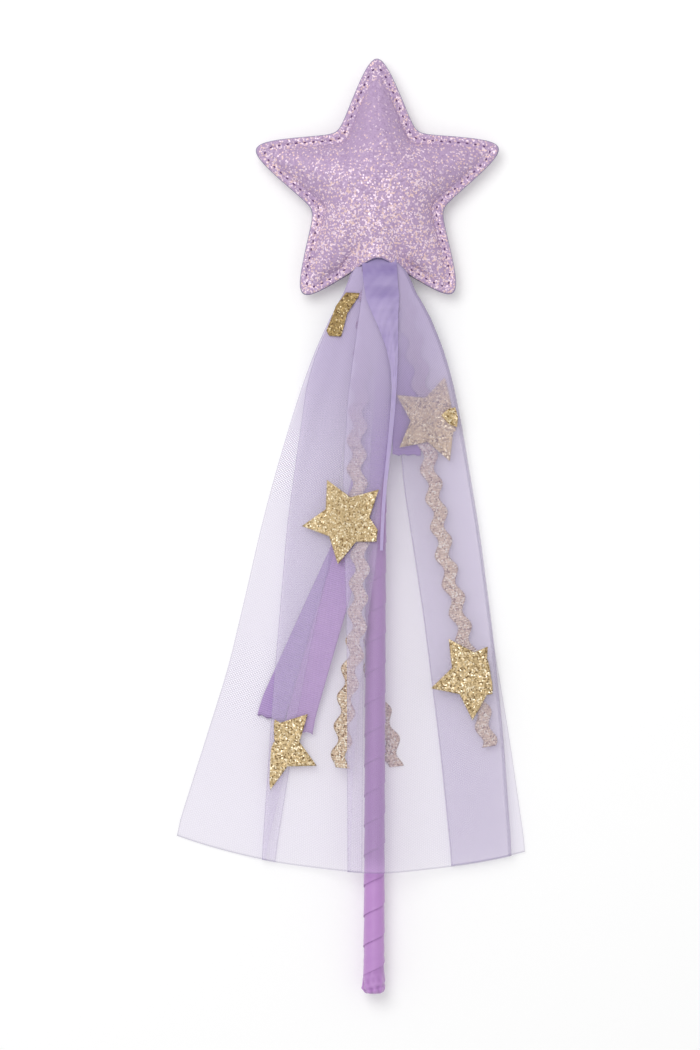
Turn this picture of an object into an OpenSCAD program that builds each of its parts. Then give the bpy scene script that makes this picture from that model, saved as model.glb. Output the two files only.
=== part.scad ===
// Star-topped play wand lying on its back: a ribbon-wrapped dowel, a padded sewn star and a
// gathered drape of tulle, ribbon tails, wavy trim and glitter stars.
// +Y runs up the stick from the middle of its lower end, +Z faces up, away from the table.

/* [Stick] */
// Diameter of the wooden dowel
dowel_d = 8; // [6:0.5:11]
// Height of the star's centre above the lower end of the stick
star_y = 338; // [300:1:380]
// How far the dowel runs past the star's centre
dowel_past = 7; // [0:1:14]

/* [Ribbon wrap] */
// Rise of the wrapped ribbon in one turn
wrap_pitch = 12.6; // [12.4:0.1:16]
// Seam left between one turn of the ribbon and the next
wrap_seam = 0.7; // [0.6:0.1:1.5]
// Thickness of the wrapped ribbon at its proud edge
wrap_t = 0.36; // [0.3:0.02:0.6]
// Length of the ribbon cap on the stick's lower end
cap_l = 9.5; // [7:0.5:14]
// Wall of the ribbon cap
cap_t = 0.6; // [0.4:0.1:1]

/* [Star] */
// Radius at which the straight edges of a point would meet
star_tip = 66.6; // [58:0.2:76]
// Radius at which the straight edges of a notch would meet
star_notch = 27.6; // [26:0.2:32]
// Rounding of the points, as an angle at the centre
tip_round = 5.3; // [4:0.1:7]
// Rounding of the notches, as an angle at the centre
notch_round = 6; // [4:0.1:8]
// Width of the star as a share of a regular star's
star_narrow = 0.982; // [0.94:0.002:1.02]
// Turn of the star on the stick to the left, in degrees
star_turn = 0.55; // [-3:0.05:3]
// Height of the front padding above its flange
puff_front = 9.5; // [8.5:0.5:12]
// Height of the back padding above its flange
puff_back = 6.8; // [6.8:0.1:9]
// Thickness of the star's fabric
panel_t = 0.7; // [0.5:0.1:1]
// Width of the flat flange outside the padding
flange_w = 3.9; // [3:0.1:5]
// Distance of the stitches from the cut edge
stitch_inset = 2.5; // [2:0.1:2.6]
// Spacing of the stitches along the seam
stitch_pitch = 3.6; // [3:0.1:5]
// Length of one stitch
stitch_l = 2.3; // [1.5:0.1:2.6]

/* [Gather] */
// Radius of the bunched upper ends round the dowel
bundle_r = 6; // [5.9:0.1:6.2]
// How far the bunched ends stand out below the star's notch
mouth_run = 7.1; // [6.4:0.1:10]
// How far the bunched ends are tucked into the star
bundle_tuck = 13; // [10:1:16]
// Width of the thread binding
binding_w = 4; // [2:0.5:6]
// Thickness of the thread binding
binding_t = 0.4; // [0.3:0.05:0.5]

/* [Drape] */
// Length of the tulle from the gather to its hem
drape_l = 250; // [220:1:260]
// Sideways reach of the tulle's left corner at the hem
fan_reach = 84; // [70:1:95]
// Thickness of a tulle sheet
tulle_t = 0.3; // [0.25:0.05:0.35]
// Spacing of the layers that lie on each other
ply = 0.66; // [0.64:0.02:0.8]
// Width of the hump that the stick makes in the sheets
tent_w = 16; // [15:0.5:19]

/* [Tails and trims] */
// Width of a ribbon tail
tail_w = 12; // [9:0.5:13]
// Thickness of a ribbon tail
tail_t = 0.3; // [0.2:0.05:0.35]
// Width of the wavy trim's braid
trim_w = 6; // [4.5:0.1:6.6]
// Swing of the wavy trim to each side
trim_swing = 1.3; // [0.8:0.1:1.8]
// Length of one wave of the trim
trim_pitch = 12; // [10:0.5:15]
// Thickness of the wavy trim
trim_t = 0.6; // [0.4:0.05:0.7]

/* [Glitter stars] */
// Radius of a glitter star at its points
glitter_r = 18.8; // [14:0.2:19.4]
// Thickness of a glitter star
glitter_t = 0.25; // [0.2:0.05:0.3]

/* [Hidden] */
$fn = 64;

// Clearances
fit_gap = 0.15;
soft_gap = 0.3;
seam_gap = 0.05;

// The wrap: rings in a turn, and its inner radius clear of the dowel at the middle of a facet
wrap_rings = 16;
thin_edge_share = 0.6;
dowel_r = dowel_d / 2;
wrap_in = (dowel_r + seam_gap) / cos(180 / wrap_rings);
wrap_out = wrap_in + wrap_t;
cap_r = dowel_r + seam_gap + cap_t;
cap_round = cap_t / 2;

// The star's outlines: cut edge, stitch line and the edge of the padding
point_half = atan(star_notch * sin(36) / (star_tip - star_notch * cos(36)));
notch_lean = 54 - point_half;
point_curve_share = 0.2;
stitch_t = 0.3;
stitch_w = 0.6;
neck_w = 9;
neck_power = 4;
neck_fade = 22;
bundle_rise = 0.7;
neck_room = 0.9;
neck_front = bundle_r + bundle_rise + binding_t + neck_room;
neck_back = bundle_r - bundle_rise + binding_t + neck_room;
crown_power = 3.2;
meet_power = 6;
flute = 0.25;
flute_count = 13;
pad_ring_shares = [0.35, 0.6, 0.8, 0.92, 1];
fill_ring_shares = [0.4, 0.7, 0.88];
arm_angles = [-36, -31, -25, -18, -11, -5, 0, 5, 11, 18, 25, 31];
dowel_top = star_y + dowel_past;

// Heights and places along the stick
floor_z = -(seam_gap + panel_t + puff_back);
mouth_y = star_y - edge_radius(36, 0);
gather_y = mouth_y - mouth_run;
bundle_y = gather_y + soft_gap;
bundle_top = mouth_y + bundle_tuck;
binding_y = bundle_top - 2 * binding_w;
wrap_y = cap_l + soft_gap;
wrap_top = gather_y - soft_gap;
wrap_start_w = 0.6;
rest_top = wrap_out + soft_gap;
rest_side = -1;
rest_floor = floor_z + soft_gap + tulle_t / 2;
settle_share = 0.3;

// Layers of the drape, counted up from the lowest
behind_layer = -1;
under_layer = 0;
tail_a_layer = 1;
tail_b_layer = 2;
left_fold_layer = 3;
left_top_layer = 4;
trim_left_layer = 5.3;
margin_layer = 6.8;
right_top_layer = 7.8;
strand_layer = 9.2;
right_mid_layer = 2.6;
tail_short_layer = 3.5;
trim_right_layer = 4.7;
muted_star_layer = 5.7;
top_star_layer = 9.9;

// Lines that run down the drape: share of the drape's length, then share of its sideways reach
left_edge_shares = [
    [0, -0.12], [0.05, -0.2], [0.1, -0.27], [0.16, -0.34], [0.25, -0.423],
    [0.35, -0.505], [0.45, -0.578], [0.55, -0.64], [0.7, -0.738], [1, -1]
];
left_fold_shares = [
    [0, -0.11], [0.05, -0.192], [0.1, -0.262], [0.17, -0.34], [0.42, -0.44], [0.7, -0.505], [1, -0.561]
];
left_turn_shares = [
    [0, -0.04], [0.32, -0.176], [0.48, -0.229], [0.62, -0.317], [0.75, -0.39], [1, -0.551]
];
under_edge_shares = [[0, -0.01], [0.2, -0.18], [0.5, -0.32], [1, -0.5]];
over_edge_shares = [[0, 0.03], [0.3, -0.03], [0.6, -0.06], [1, -0.06]];
margin_edge_shares = [
    [0, 0.07], [0.2, 0.09], [0.33, 0.035], [0.45, 0.011], [0.62, -0.055], [0.82, -0.108], [1, -0.118]
];
margin_fold_shares = [[0, -0.06], [0.2, -0.14], [0.35, -0.165], [0.58, -0.14], [1, -0.13]];
right_turn_shares = [[0, 0.085], [0.2, 0.12], [0.34, 0.14], [0.57, 0.248], [0.8, 0.336], [1, 0.399]];
right_fold_shares = [
    [0, 0.115], [0.04, 0.205], [0.08, 0.261], [0.12, 0.307], [0.16, 0.347],
    [0.25, 0.405], [0.44, 0.5], [0.62, 0.57], [0.8, 0.625], [1, 0.669]
];
right_edge_shares = [
    [0, 0.125], [0.04, 0.215], [0.08, 0.271], [0.12, 0.317], [0.16, 0.357],
    [0.25, 0.415], [0.44, 0.51], [0.62, 0.585], [0.8, 0.674], [1, 0.76]
];
strand_shares = [
    [0, 0.012], [0.038, 0.023], [0.08, 0.056], [0.12, 0.077], [0.154, 0.089], [0.19, 0.088],
    [0.245, 0.076], [0.287, 0.064], [0.33, 0.05], [0.37, 0.038], [0.46, 0.026]
];
strand_width_shares = [
    [0, 0.173], [0.038, 0.165], [0.08, 0.105], [0.12, 0.06], [0.154, 0.035], [0.19, 0.024], [0.46, 0.015]
];
tail_a_shares = [
    [0, -0.025], [0.28, 0], [0.44, -0.12], [0.54, -0.286], [0.64, -0.458], [0.745, -0.53]
];
tail_b_shares = [
    [0, -0.015], [0.28, 0.006], [0.44, -0.095], [0.55, -0.215], [0.64, -0.316], [0.765, -0.38]
];
tail_short_shares = [[0, 0.06], [0.08, 0.125], [0.14, 0.147], [0.3, 0.152]];
tail_pinch_share = 0.4;
tail_open_share = 0.12;
trim_right_shares = [
    [0, 0.09], [0.04, 0.13], [0.08, 0.163], [0.134, 0.2], [0.19, 0.23], [0.3, 0.255], [0.41, 0.318],
    [0.47, 0.342], [0.535, 0.398], [0.59, 0.433], [0.79, 0.575]
];
trim_left_shares = [
    [0, -0.03], [0.1, -0.06], [0.2, -0.087], [0.27, -0.1], [0.33, -0.098], [0.47, -0.074], [0.54, -0.09],
    [0.6, -0.09], [0.64, -0.11], [0.69, -0.137], [0.76, -0.157], [0.825, -0.178]
];
trim_back_shares = [[0, 0], [0.58, 0], [0.65, -0.02], [0.71, 0.01], [0.785, 0.085], [0.825, 0.1]];
curve_step_share = 0.03;
sheet_row_count = 16;
row_bunch = 1.25;
strip_row_count = 16;
wave_rows = 7;

// Glitter stars: place down and across the drape as shares, turn in degrees, then their outline
glitter_notch_share = 0.52;
glitter_ring_shares = [0.36, 0.68, 1];
glitter_step = 12;
glitter_1_shares = [0.066, -0.168];
glitter_2_shares = [0.24, 0.287];
glitter_3_shares = [0.41, -0.149];
glitter_4_shares = [0.67, 0.493];
glitter_5_shares = [0.79, -0.492];
folded_width_share = 0.36;
glitter_edge_gap = 0.6;

// Plain helpers
function mix(a, b, f) = a + (b - a) * f;
function clamp(f) = min(1, max(0, f));
function ease(f) = let (c = clamp(f)) c * c * (3 - 2 * c);
function unit(v) = v / norm(v);
function curve(v, shares) =
    (lookup(v - curve_step_share, shares) + lookup(v, shares) + lookup(v + curve_step_share, shares)) / 3;

// Radius of a five-pointed outline: straight edges, with corners softened by an angle
function star_edge(angle, tip, notch, tip_soft, notch_soft) =
    let (
        off = abs((angle + 36) - 72 * floor((angle + 36) / 72) - 36),
        from_tip = sqrt(off * off + tip_soft * tip_soft),
        from_notch = sqrt((36 - from_tip) * (36 - from_tip) + notch_soft * notch_soft)
    )
    tip * notch * sin(36) / (tip * sin(36 - from_notch) + notch * sin(from_notch));

// The padded star's outline, set in from its cut edge; its points get sharper further in
function edge_radius(angle, inset) =
    let (
        tip = star_tip - inset / sin(point_half),
        notch = star_notch - inset / cos(notch_lean),
        tip_soft = tip_round * (1 - inset / (point_curve_share * star_tip))
    )
    star_edge(angle, tip, notch, tip_soft, notch_round);
function star_point(angle, radius) =
    [star_narrow * radius * sin(angle - star_turn), star_y + radius * cos(angle - star_turn)];

// Height of a padded panel: a crown inside the flange, and a tunnel over the stick at the notch
function crown(f) = 1 - pow(f, crown_power);
function tunnel(p) = exp(-pow(p[0] / neck_w, neck_power)) * ease((star_y - p[1]) / neck_fade);
function pad_height(f, p, puff, neck) =
    pow(pow(puff * crown(f), meet_power) + pow(neck * tunnel(p), meet_power), 1 / meet_power);

// A ring of the padding: round near the middle, star-shaped at the flange
function pad_point(angle, f) =
    star_point(angle, f * mix(edge_radius(36, flange_w), edge_radius(angle, flange_w), f));

// Height of the lowest layer of the drape: over the stick in the middle, down to the table beside it
function side_z(v) = mix(rest_side, rest_floor, ease(v / settle_share));
function rest_z(x, v) = mix(side_z(v), rest_top, exp(-pow(x / tent_w, 2)));
function layer_z(x, v, layer) = rest_z(x, v) + ply * layer;
function behind_z(v) = mix(-rest_top - trim_t / 2, rest_floor, ease(v / settle_share));

// A sheet's cross-section is a row of columns: two lines, the share between them, layer, side step
function column_x(c, v) = fan_reach * mix(curve(v, c[0]), curve(v, c[1]), c[2]) + c[4];
function column_drop(c) = sqrt(drape_l * drape_l - pow(column_x(c, 1), 2));
function column_point(c, v) =
    let (x = column_x(c, v))
    [x, gather_y - v * column_drop(c), layer_z(x, v, c[3])];
function run(line_a, line_b, shares, layer) = [for (f = shares) [line_a, line_b, f, layer, 0]];
function turn(line, layer_a, layer_b, side) =
    [[line, line, 0, (layer_a + layer_b) / 2, side * ply * abs(layer_a - layer_b) / 2]];
function sheet_grid(columns) =
    [for (i = [0 : sheet_row_count - 1])
        [for (c = columns) column_point(c, pow(i / (sheet_row_count - 1), row_bunch))]];

// A strip follows one line down the drape; a wave swings it from side to side
function strip_middle(shares, v) = [fan_reach * curve(v, shares), gather_y - v * drape_l];
function strip_side(shares, v) =
    let (d = unit(strip_middle(shares, v) - strip_middle(shares, v - curve_step_share)))
    [-d[1], d[0]];
function strip_end(shares) = shares[len(shares) - 1][0];
function strip_grid(shares, rows, half_widths, layer, swing) =
    [for (i = [0 : rows])
        let (
            v = strip_end(shares) * i / rows,
            side = strip_side(shares, v),
            wave = swing * sin(360 * v * drape_l / trim_pitch),
            half = lookup(v, half_widths)
        )
        [for (f = swing == 0 ? [-1, 0, 1] : [-1, 1])
            let (p = strip_middle(shares, v) + side * (wave + f * half))
            [p[0], p[1], layer == behind_layer ? behind_z(v) : layer_z(p[0], v, layer)]]];

// A slab of even thickness on a grid of points
function grid_normal(grid, i, j) =
    let (
        rows = len(grid) - 1,
        cols = len(grid[0]) - 1,
        across = grid[i][min(j + 1, cols)] - grid[i][max(j - 1, 0)],
        along = grid[max(i - 1, 0)][j] - grid[min(i + 1, rows)][j]
    )
    unit(cross(across, along));
module slab(grid, t) {
    n = len(grid);
    m = len(grid[0]);
    low = n * m;
    points = [for (side = [1, -1])
        for (i = [0 : n - 1])
            for (j = [0 : m - 1]) grid[i][j] + side * t / 2 * grid_normal(grid, i, j)];
    quads = [for (i = [0 : n - 2])
        for (j = [0 : m - 2]) [i * m + j, i * m + j + 1, (i + 1) * m + j + 1, (i + 1) * m + j]];
    top = [for (q = quads) each [[q[0], q[1], q[2]], [q[0], q[2], q[3]]]];
    bottom = [for (f = top) [f[0] + low, f[2] + low, f[1] + low]];
    rim = concat(
        [for (i = [0 : n - 2]) [i * m, (i + 1) * m]],
        [for (i = [0 : n - 2]) [(i + 2) * m - 1, (i + 1) * m - 1]],
        [for (j = [0 : m - 2]) [j + 1, j]],
        [for (j = [0 : m - 2]) [(n - 1) * m + j, (n - 1) * m + j + 1]]
    );
    walls = [for (e = rim) each [[e[0], e[1], e[1] + low], [e[0], e[1] + low, e[0] + low]]];
    polyhedron(points = points, faces = concat(top, bottom, walls), convexity = 8);
}

// A closed solid between two heights on rings round a middle point
module ringed(middle, upper, lower) {
    count = len(upper[0]);
    rings = len(upper);
    low = 1 + rings * count;
    points = concat([middle[0]], [for (r = upper) each r], [middle[1]], [for (r = lower) each r]);
    fan = [for (k = [0 : count - 1]) [0, 1 + k, 1 + (k + 1) % count]];
    quads = [for (i = [0 : rings - 2])
        for (k = [0 : count - 1])
            let (a = 1 + i * count + k, b = 1 + i * count + (k + 1) % count)
            [a, a + count, b + count, b]];
    top = concat(fan, [for (q = quads) each [[q[0], q[1], q[2]], [q[0], q[2], q[3]]]]);
    bottom = [for (f = top) [f[0] + low, f[2] + low, f[1] + low]];
    edge = 1 + (rings - 1) * count;
    walls = [for (k = [0 : count - 1])
        let (a = edge + k, b = edge + (k + 1) % count)
        each [[b, a, a + low], [b, a + low, b + low]]];
    polyhedron(points = points, faces = concat(top, bottom, walls), convexity = 6);
}

// One fabric panel of the star, facing up
module star_panel(puff, neck) {
    angles = [for (arm = [0 : 4]) for (a = arm_angles) 72 * arm + a];
    plan = concat(
        [for (f = pad_ring_shares) [for (a = angles) pad_point(a, f)]],
        [[for (a = angles) star_point(a, edge_radius(a, 0))]]
    );
    fills = concat(pad_ring_shares, [1]);
    lower = [for (i = [0 : len(plan) - 1])
        [for (p = plan[i]) [p[0], p[1], seam_gap + pad_height(fills[i], p, puff, neck)]]];
    upper = [for (r = lower) [for (p = r) p + [0, 0, panel_t]]];
    middle = [0, star_y, seam_gap + puff];
    ringed([middle + [0, 0, panel_t], middle], upper, lower);
}

// The row of stitches on one flange, left out where the drape comes out of the star
module stitch_row() {
    trace = [for (a = 0, s = 0; a < 360; s = s + norm(seam_at(a + 1) - seam_at(a)), a = a + 1) [s, a]];
    around = trace[len(trace) - 1][0];
    count = floor(around / stitch_pitch);
    for (i = [0 : count - 1]) {
        a = lookup(around * (i + 0.5) / count, trace);
        p = seam_at(a);
        d = seam_at(a + 1) - p;
        if (p[1] > mouth_y + neck_fade || abs(p[0]) > 2 * neck_w)
            translate([p[0], p[1], 2 * seam_gap + panel_t + stitch_t / 2])
                rotate([0, 0, atan2(d[1], d[0])])
                    cube([stitch_l, stitch_w, stitch_t], center = true);
    }
}
function seam_at(a) = star_point(a, edge_radius(a, stitch_inset));

// The bunched ends in cross-section, fluted like gathered cloth
module bundle_profile(radius) {
    steps = flute_count * 6;
    polygon([for (i = [0 : steps - 1])
        let (a = 360 * i / steps, r = radius + flute * sin(flute_count * a))
        [r * sin(a), r * cos(a) - bundle_rise]]);
}
module along_stick(y, l) {
    translate([0, y, 0])
        rotate([-90, 0, 0])
            linear_extrude(l)
                children();
}

// A five-pointed glitter star that lies on the drape, cut off at two lines of it
function room(from, to, limit) = (to - limit) * (limit - from) > 0 ? (limit - from) / (to - from) : 1;
function glitter_point(place, turn_deg, width_share, lines, angle, f) =
    let (
        r = star_edge(angle, glitter_r, glitter_notch_share * glitter_r, 0, 0),
        across = r * sin(angle) * width_share,
        up = r * cos(angle),
        dx = across * cos(turn_deg) - up * sin(turn_deg),
        dy = up * cos(turn_deg) + across * sin(turn_deg),
        v = place[0] - dy / drape_l,
        low = fan_reach * curve(v, lines[0]) + glitter_edge_gap,
        high = fan_reach * curve(v, lines[1]) - glitter_edge_gap,
        x = fan_reach * place[1],
        kept = f * min(room(x, x + dx, low), room(x, x + dx, high))
    )
    [x + kept * dx, place[0] - kept * dy / drape_l];
module glitter_star(place, turn_deg, width_share, layer, lines) {
    flat = [for (f = glitter_ring_shares)
        [for (a = [0 : glitter_step : 360 - glitter_step])
            let (p = glitter_point(place, turn_deg, width_share, lines, a, f))
            [p[0], gather_y - p[1] * drape_l, layer_z(p[0], p[1], layer)]]];
    upper = [for (r = flat) [for (p = r) p + [0, 0, glitter_t]]];
    x = fan_reach * place[1];
    middle = [x, gather_y - place[0] * drape_l, layer_z(x, place[0], layer)];
    ringed([middle + [0, 0, glitter_t], middle], upper, flat);
}

// Stick
module stick_core() {
    color("burlywood")
        along_stick(cap_t + seam_gap, dowel_top - cap_t - seam_gap)
            circle(d = dowel_d);
}

module wrap_end_cap() {
    color("plum")
        rotate([-90, 0, 0])
            rotate_extrude()
                polygon([
                    [0, 0], [cap_r - cap_round, 0], [cap_r, cap_round], [cap_r, cap_l],
                    [dowel_r + seam_gap, cap_l], [dowel_r + seam_gap, cap_t], [0, cap_t]
                ]);
}

// The ribbon winds up the stick as one strip, with its lower edge standing proud
wrap_l = wrap_pitch - wrap_seam;
wrap_rise = wrap_pitch / wrap_rings;
wrap_first = ceil((wrap_seam + wrap_start_w) / wrap_rise);
wrap_last = floor((wrap_top - wrap_start_w - wrap_y + wrap_pitch) / wrap_rise);
wrap_count = wrap_last - wrap_first;
wrap_thin = wrap_in + thin_edge_share * wrap_t;
wrap_corners = [[wrap_in, 0], [wrap_in, wrap_l], [wrap_thin, wrap_l], [wrap_out, 0]];
// Both ends of the strip are cut square to the stick
function wrap_ring_y(i, up) = min(wrap_top, max(wrap_y, wrap_y - wrap_pitch + wrap_rise * i + up));
wrap_points = [for (i = [wrap_first : wrap_last])
    let (a = 360 * i / wrap_rings)
    [for (c = wrap_corners) [c[0] * sin(a), wrap_ring_y(i, c[1]), c[0] * cos(a)]]];
wrap_self_gap = min([for (i = [0 : wrap_count - wrap_rings])
    for (step = [-1 : 1])
        norm(wrap_points[i][2] - wrap_points[min(i + wrap_rings + step, wrap_count)][3])]);
echo(ribbon_wrap_least_gap_to_itself = wrap_self_gap);
module ribbon_wrap() {
    last = 4 * wrap_count;
    sides = [for (i = [0 : wrap_count - 1])
        for (c = [0 : 3])
            let (a = 4 * i + c, b = 4 * i + (c + 1) % 4)
            each [[a, a + 4, b + 4], [a, b + 4, b]]];
    ends = [[0, 1, 2], [0, 2, 3], [last, last + 2, last + 1], [last, last + 3, last + 2]];
    color("mediumorchid")
        polyhedron(points = [for (r = wrap_points) each r], faces = concat(sides, ends), convexity = 10);
}

// Star
module star_front_panel() {
    color("thistle") star_panel(puff_front, neck_front);
}
module star_back_panel() {
    color("thistle") mirror([0, 0, 1]) star_panel(puff_back, neck_back);
}
module star_stuffing() {
    angles = [for (arm = [0 : 4]) for (a = [-36, -24, -12, 0, 12, 24]) 72 * arm + a];
    plan = [for (f = fill_ring_shares) [for (a = angles) pad_point(a, f)]];
    fill_top = puff_front - 2 * soft_gap;
    fill_low = 2 * soft_gap - puff_back;
    upper = [for (i = [0 : len(plan) - 1])
        [for (p = plan[i]) [p[0], p[1], puff_front * crown(fill_ring_shares[i]) - 2 * soft_gap]]];
    lower = [for (i = [0 : len(plan) - 1])
        [for (p = plan[i]) [p[0], p[1], 2 * soft_gap - puff_back * crown(fill_ring_shares[i])]]];
    color("white")
        difference() {
            ringed([[0, star_y, fill_top], [0, star_y, fill_low]], upper, lower);
            along_stick(gather_y, dowel_top + soft_gap - gather_y)
                circle(r = dowel_r + soft_gap);
            along_stick(gather_y, bundle_top + soft_gap - gather_y)
                translate([0, -bundle_rise]) circle(r = bundle_r + flute + binding_t + 2 * soft_gap);
        }
}
module star_front_stitches() {
    color("indigo") stitch_row();
}
module star_back_stitches() {
    color("indigo") mirror([0, 0, 1]) stitch_row();
}

// Gather
module gather_bundle() {
    color("mediumpurple")
        along_stick(bundle_y, bundle_top - bundle_y)
            difference() {
                bundle_profile(bundle_r);
                circle(r = dowel_r + fit_gap);
            }
}
module gather_binding() {
    inner = bundle_r + flute + seam_gap;
    color("slateblue")
        along_stick(binding_y, binding_w)
            translate([0, -bundle_rise])
                difference() {
                    circle(r = inner + binding_t);
                    circle(r = inner);
                }
}

// Tulle sheets with their main folds
even_shares = [0, 0.25, 0.5, 0.75, 1];
over_run_shares = [0, 0.2, 0.36, 0.5, 0.62, 0.72, 0.82, 0.91, 1];
right_run_shares = [0, 0.06, 0.12, 0.18, 0.25, 0.33, 0.42, 0.53, 0.68, 0.84, 1];
module tulle_left_under() {
    color("lavender")
        slab(sheet_grid(run(left_edge_shares, under_edge_shares, even_shares, under_layer)), tulle_t);
}
module tulle_left_over() {
    columns = concat(
        run(left_turn_shares, left_fold_shares, even_shares, left_fold_layer),
        turn(left_fold_shares, left_fold_layer, left_top_layer, -1),
        run(left_fold_shares, over_edge_shares, over_run_shares, left_top_layer)
    );
    color("plum") slab(sheet_grid(columns), tulle_t);
}
module tulle_right() {
    columns = concat(
        run(margin_edge_shares, margin_fold_shares, even_shares, margin_layer),
        turn(margin_fold_shares, margin_layer, right_top_layer, -1),
        run(margin_fold_shares, right_fold_shares, right_run_shares, right_top_layer),
        turn(right_fold_shares, right_top_layer, right_mid_layer, 1),
        run(right_fold_shares, right_turn_shares, even_shares, right_mid_layer),
        turn(right_turn_shares, right_mid_layer, under_layer, -1),
        run(right_turn_shares, right_edge_shares, even_shares, under_layer)
    );
    color("lavender") slab(sheet_grid(columns), tulle_t);
}
module tulle_strand() {
    halves = [for (s = strand_width_shares) [s[0], fan_reach * s[1] / 2]];
    color("plum") slab(strip_grid(strand_shares, strip_row_count, halves, strand_layer, 0), tulle_t);
}

// Ribbon tails and wavy trims
tail_halves = [[0, tail_pinch_share * tail_w / 2], [tail_open_share, tail_w / 2], [1, tail_w / 2]];
trim_halves = [[0, trim_w / 2], [1, trim_w / 2]];
module tail(shares, layer) {
    slab(strip_grid(shares, strip_row_count, tail_halves, layer, 0), tail_t);
}
module ribbon_tail_a() {
    color("mediumpurple") tail(tail_a_shares, tail_a_layer);
}
module ribbon_tail_b() {
    color("mediumpurple") tail(tail_b_shares, tail_b_layer);
}
module ribbon_tail_short() {
    color("mediumpurple") tail(tail_short_shares, tail_short_layer);
}
module trim(shares, layer) {
    rows = round(strip_end(shares) * drape_l / trim_pitch * wave_rows);
    slab(strip_grid(shares, rows, trim_halves, layer, trim_swing), trim_t);
}
module ricrac_right() {
    color("goldenrod") trim(trim_right_shares, trim_right_layer);
}
module ricrac_left() {
    color("goldenrod") trim(trim_left_shares, trim_left_layer);
}
module ricrac_back() {
    color("goldenrod") trim(trim_back_shares, behind_layer);
}

// Glitter stars
all_left_shares = [[0, -1], [1, -1]];
all_right_shares = [[0, 1], [1, 1]];
star_1_end_shares = [[0, -0.075], [0.04, -0.1], [1, -0.14]];
left_lines = [left_fold_shares, all_right_shares];
right_lines = [all_left_shares, right_fold_shares];
module glitter_star_1() {
    lines = [left_fold_shares, star_1_end_shares];
    color("gold") glitter_star(glitter_1_shares, -24, folded_width_share, left_top_layer + 1, lines);
}
module glitter_star_2() {
    color("darkkhaki") glitter_star(glitter_2_shares, -14.5, 1, muted_star_layer, right_lines);
}
module glitter_star_3() {
    lines = [all_left_shares, margin_edge_shares];
    color("gold") glitter_star(glitter_3_shares, 25.6, 1, top_star_layer, lines);
}
module glitter_star_4() {
    color("gold") glitter_star(glitter_4_shares, 34.6, 1, right_top_layer + 1, right_lines);
}
module glitter_star_5() {
    color("gold") glitter_star(glitter_5_shares, 28, 1, left_top_layer + 1, left_lines);
}

stick_core();
ribbon_wrap();
wrap_end_cap();
star_front_panel();
star_back_panel();
star_stuffing();
star_front_stitches();
star_back_stitches();
gather_bundle();
gather_binding();
tulle_left_under();
tulle_left_over();
tulle_right();
tulle_strand();
ribbon_tail_a();
ribbon_tail_b();
ribbon_tail_short();
ricrac_right();
ricrac_left();
ricrac_back();
glitter_star_1();
glitter_star_2();
glitter_star_3();
glitter_star_4();
glitter_star_5();
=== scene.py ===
# %% [markdown]
# # A play wand with a padded star and a tulle drape
# The wand lies on its back on a white table and is seen from straight above. A stick wrapped in
# satin ribbon carries a sewn, stuffed star of glitter fabric. Tulle, ribbon tails and wavy gold
# braid are bunched into the star's lower notch and fan out over the stick, with gold stars on them.
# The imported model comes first, as a fixed frame. Every soft piece of it is then replaced by a
# finer surface that is worked out from the same lines and sizes, in millimetres.

# %% Load the frame
import bpy
import numpy as np
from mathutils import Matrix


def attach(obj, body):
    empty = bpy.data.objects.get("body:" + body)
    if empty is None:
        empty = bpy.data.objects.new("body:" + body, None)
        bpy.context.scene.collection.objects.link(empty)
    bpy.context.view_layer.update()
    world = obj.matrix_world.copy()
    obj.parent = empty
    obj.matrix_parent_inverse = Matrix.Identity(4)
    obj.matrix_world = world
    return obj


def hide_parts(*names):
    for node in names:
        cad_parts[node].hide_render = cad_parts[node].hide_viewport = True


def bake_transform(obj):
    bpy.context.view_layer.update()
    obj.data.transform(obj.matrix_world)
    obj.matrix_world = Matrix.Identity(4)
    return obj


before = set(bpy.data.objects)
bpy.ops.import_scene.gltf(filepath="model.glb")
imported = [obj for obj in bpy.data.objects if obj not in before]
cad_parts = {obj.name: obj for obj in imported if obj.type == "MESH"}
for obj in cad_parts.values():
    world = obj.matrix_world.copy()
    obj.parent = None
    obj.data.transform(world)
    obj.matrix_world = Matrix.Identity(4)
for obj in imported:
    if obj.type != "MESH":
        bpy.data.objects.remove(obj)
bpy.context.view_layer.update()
MM = 0.001

# %% [markdown]
# ## Camera
# The picture is 700 by 1050 pixels and one pixel is about 0.42 mm of table. A long lens high above
# the table keeps the perspective as flat as a catalogue picture's. The wand leans a quarter of a
# degree to the right in it, so the camera is rolled by that much.

# %% Camera
PIXEL, PICTURE_W, PICTURE_H, LEAN = 0.42, 700, 1050, 0.27
view_middle = np.array([-10.9, 196.6])
view_height = PICTURE_H * PIXEL
camera_height = 1800.0
lens = bpy.data.cameras.new("camera")
lens.sensor_fit = "VERTICAL"
lens.sensor_height = 24
lens.lens = lens.sensor_height * camera_height / view_height
lens.clip_end = 20
camera = bpy.data.objects.new("camera", lens)
camera.location = (view_middle[0] * MM, view_middle[1] * MM, camera_height * MM)
camera.rotation_euler = (0, 0, np.radians(LEAN))
bpy.context.scene.collection.objects.link(camera)
bpy.context.scene.camera = camera
print("camera field", PICTURE_W * PIXEL, "by", view_height, "mm")

# %% [markdown]
# ## Numbers of the wand
# These are the sizes that the frame was built with. A surface that replaces a node uses the same
# numbers, so it lies where the node lies.

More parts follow.
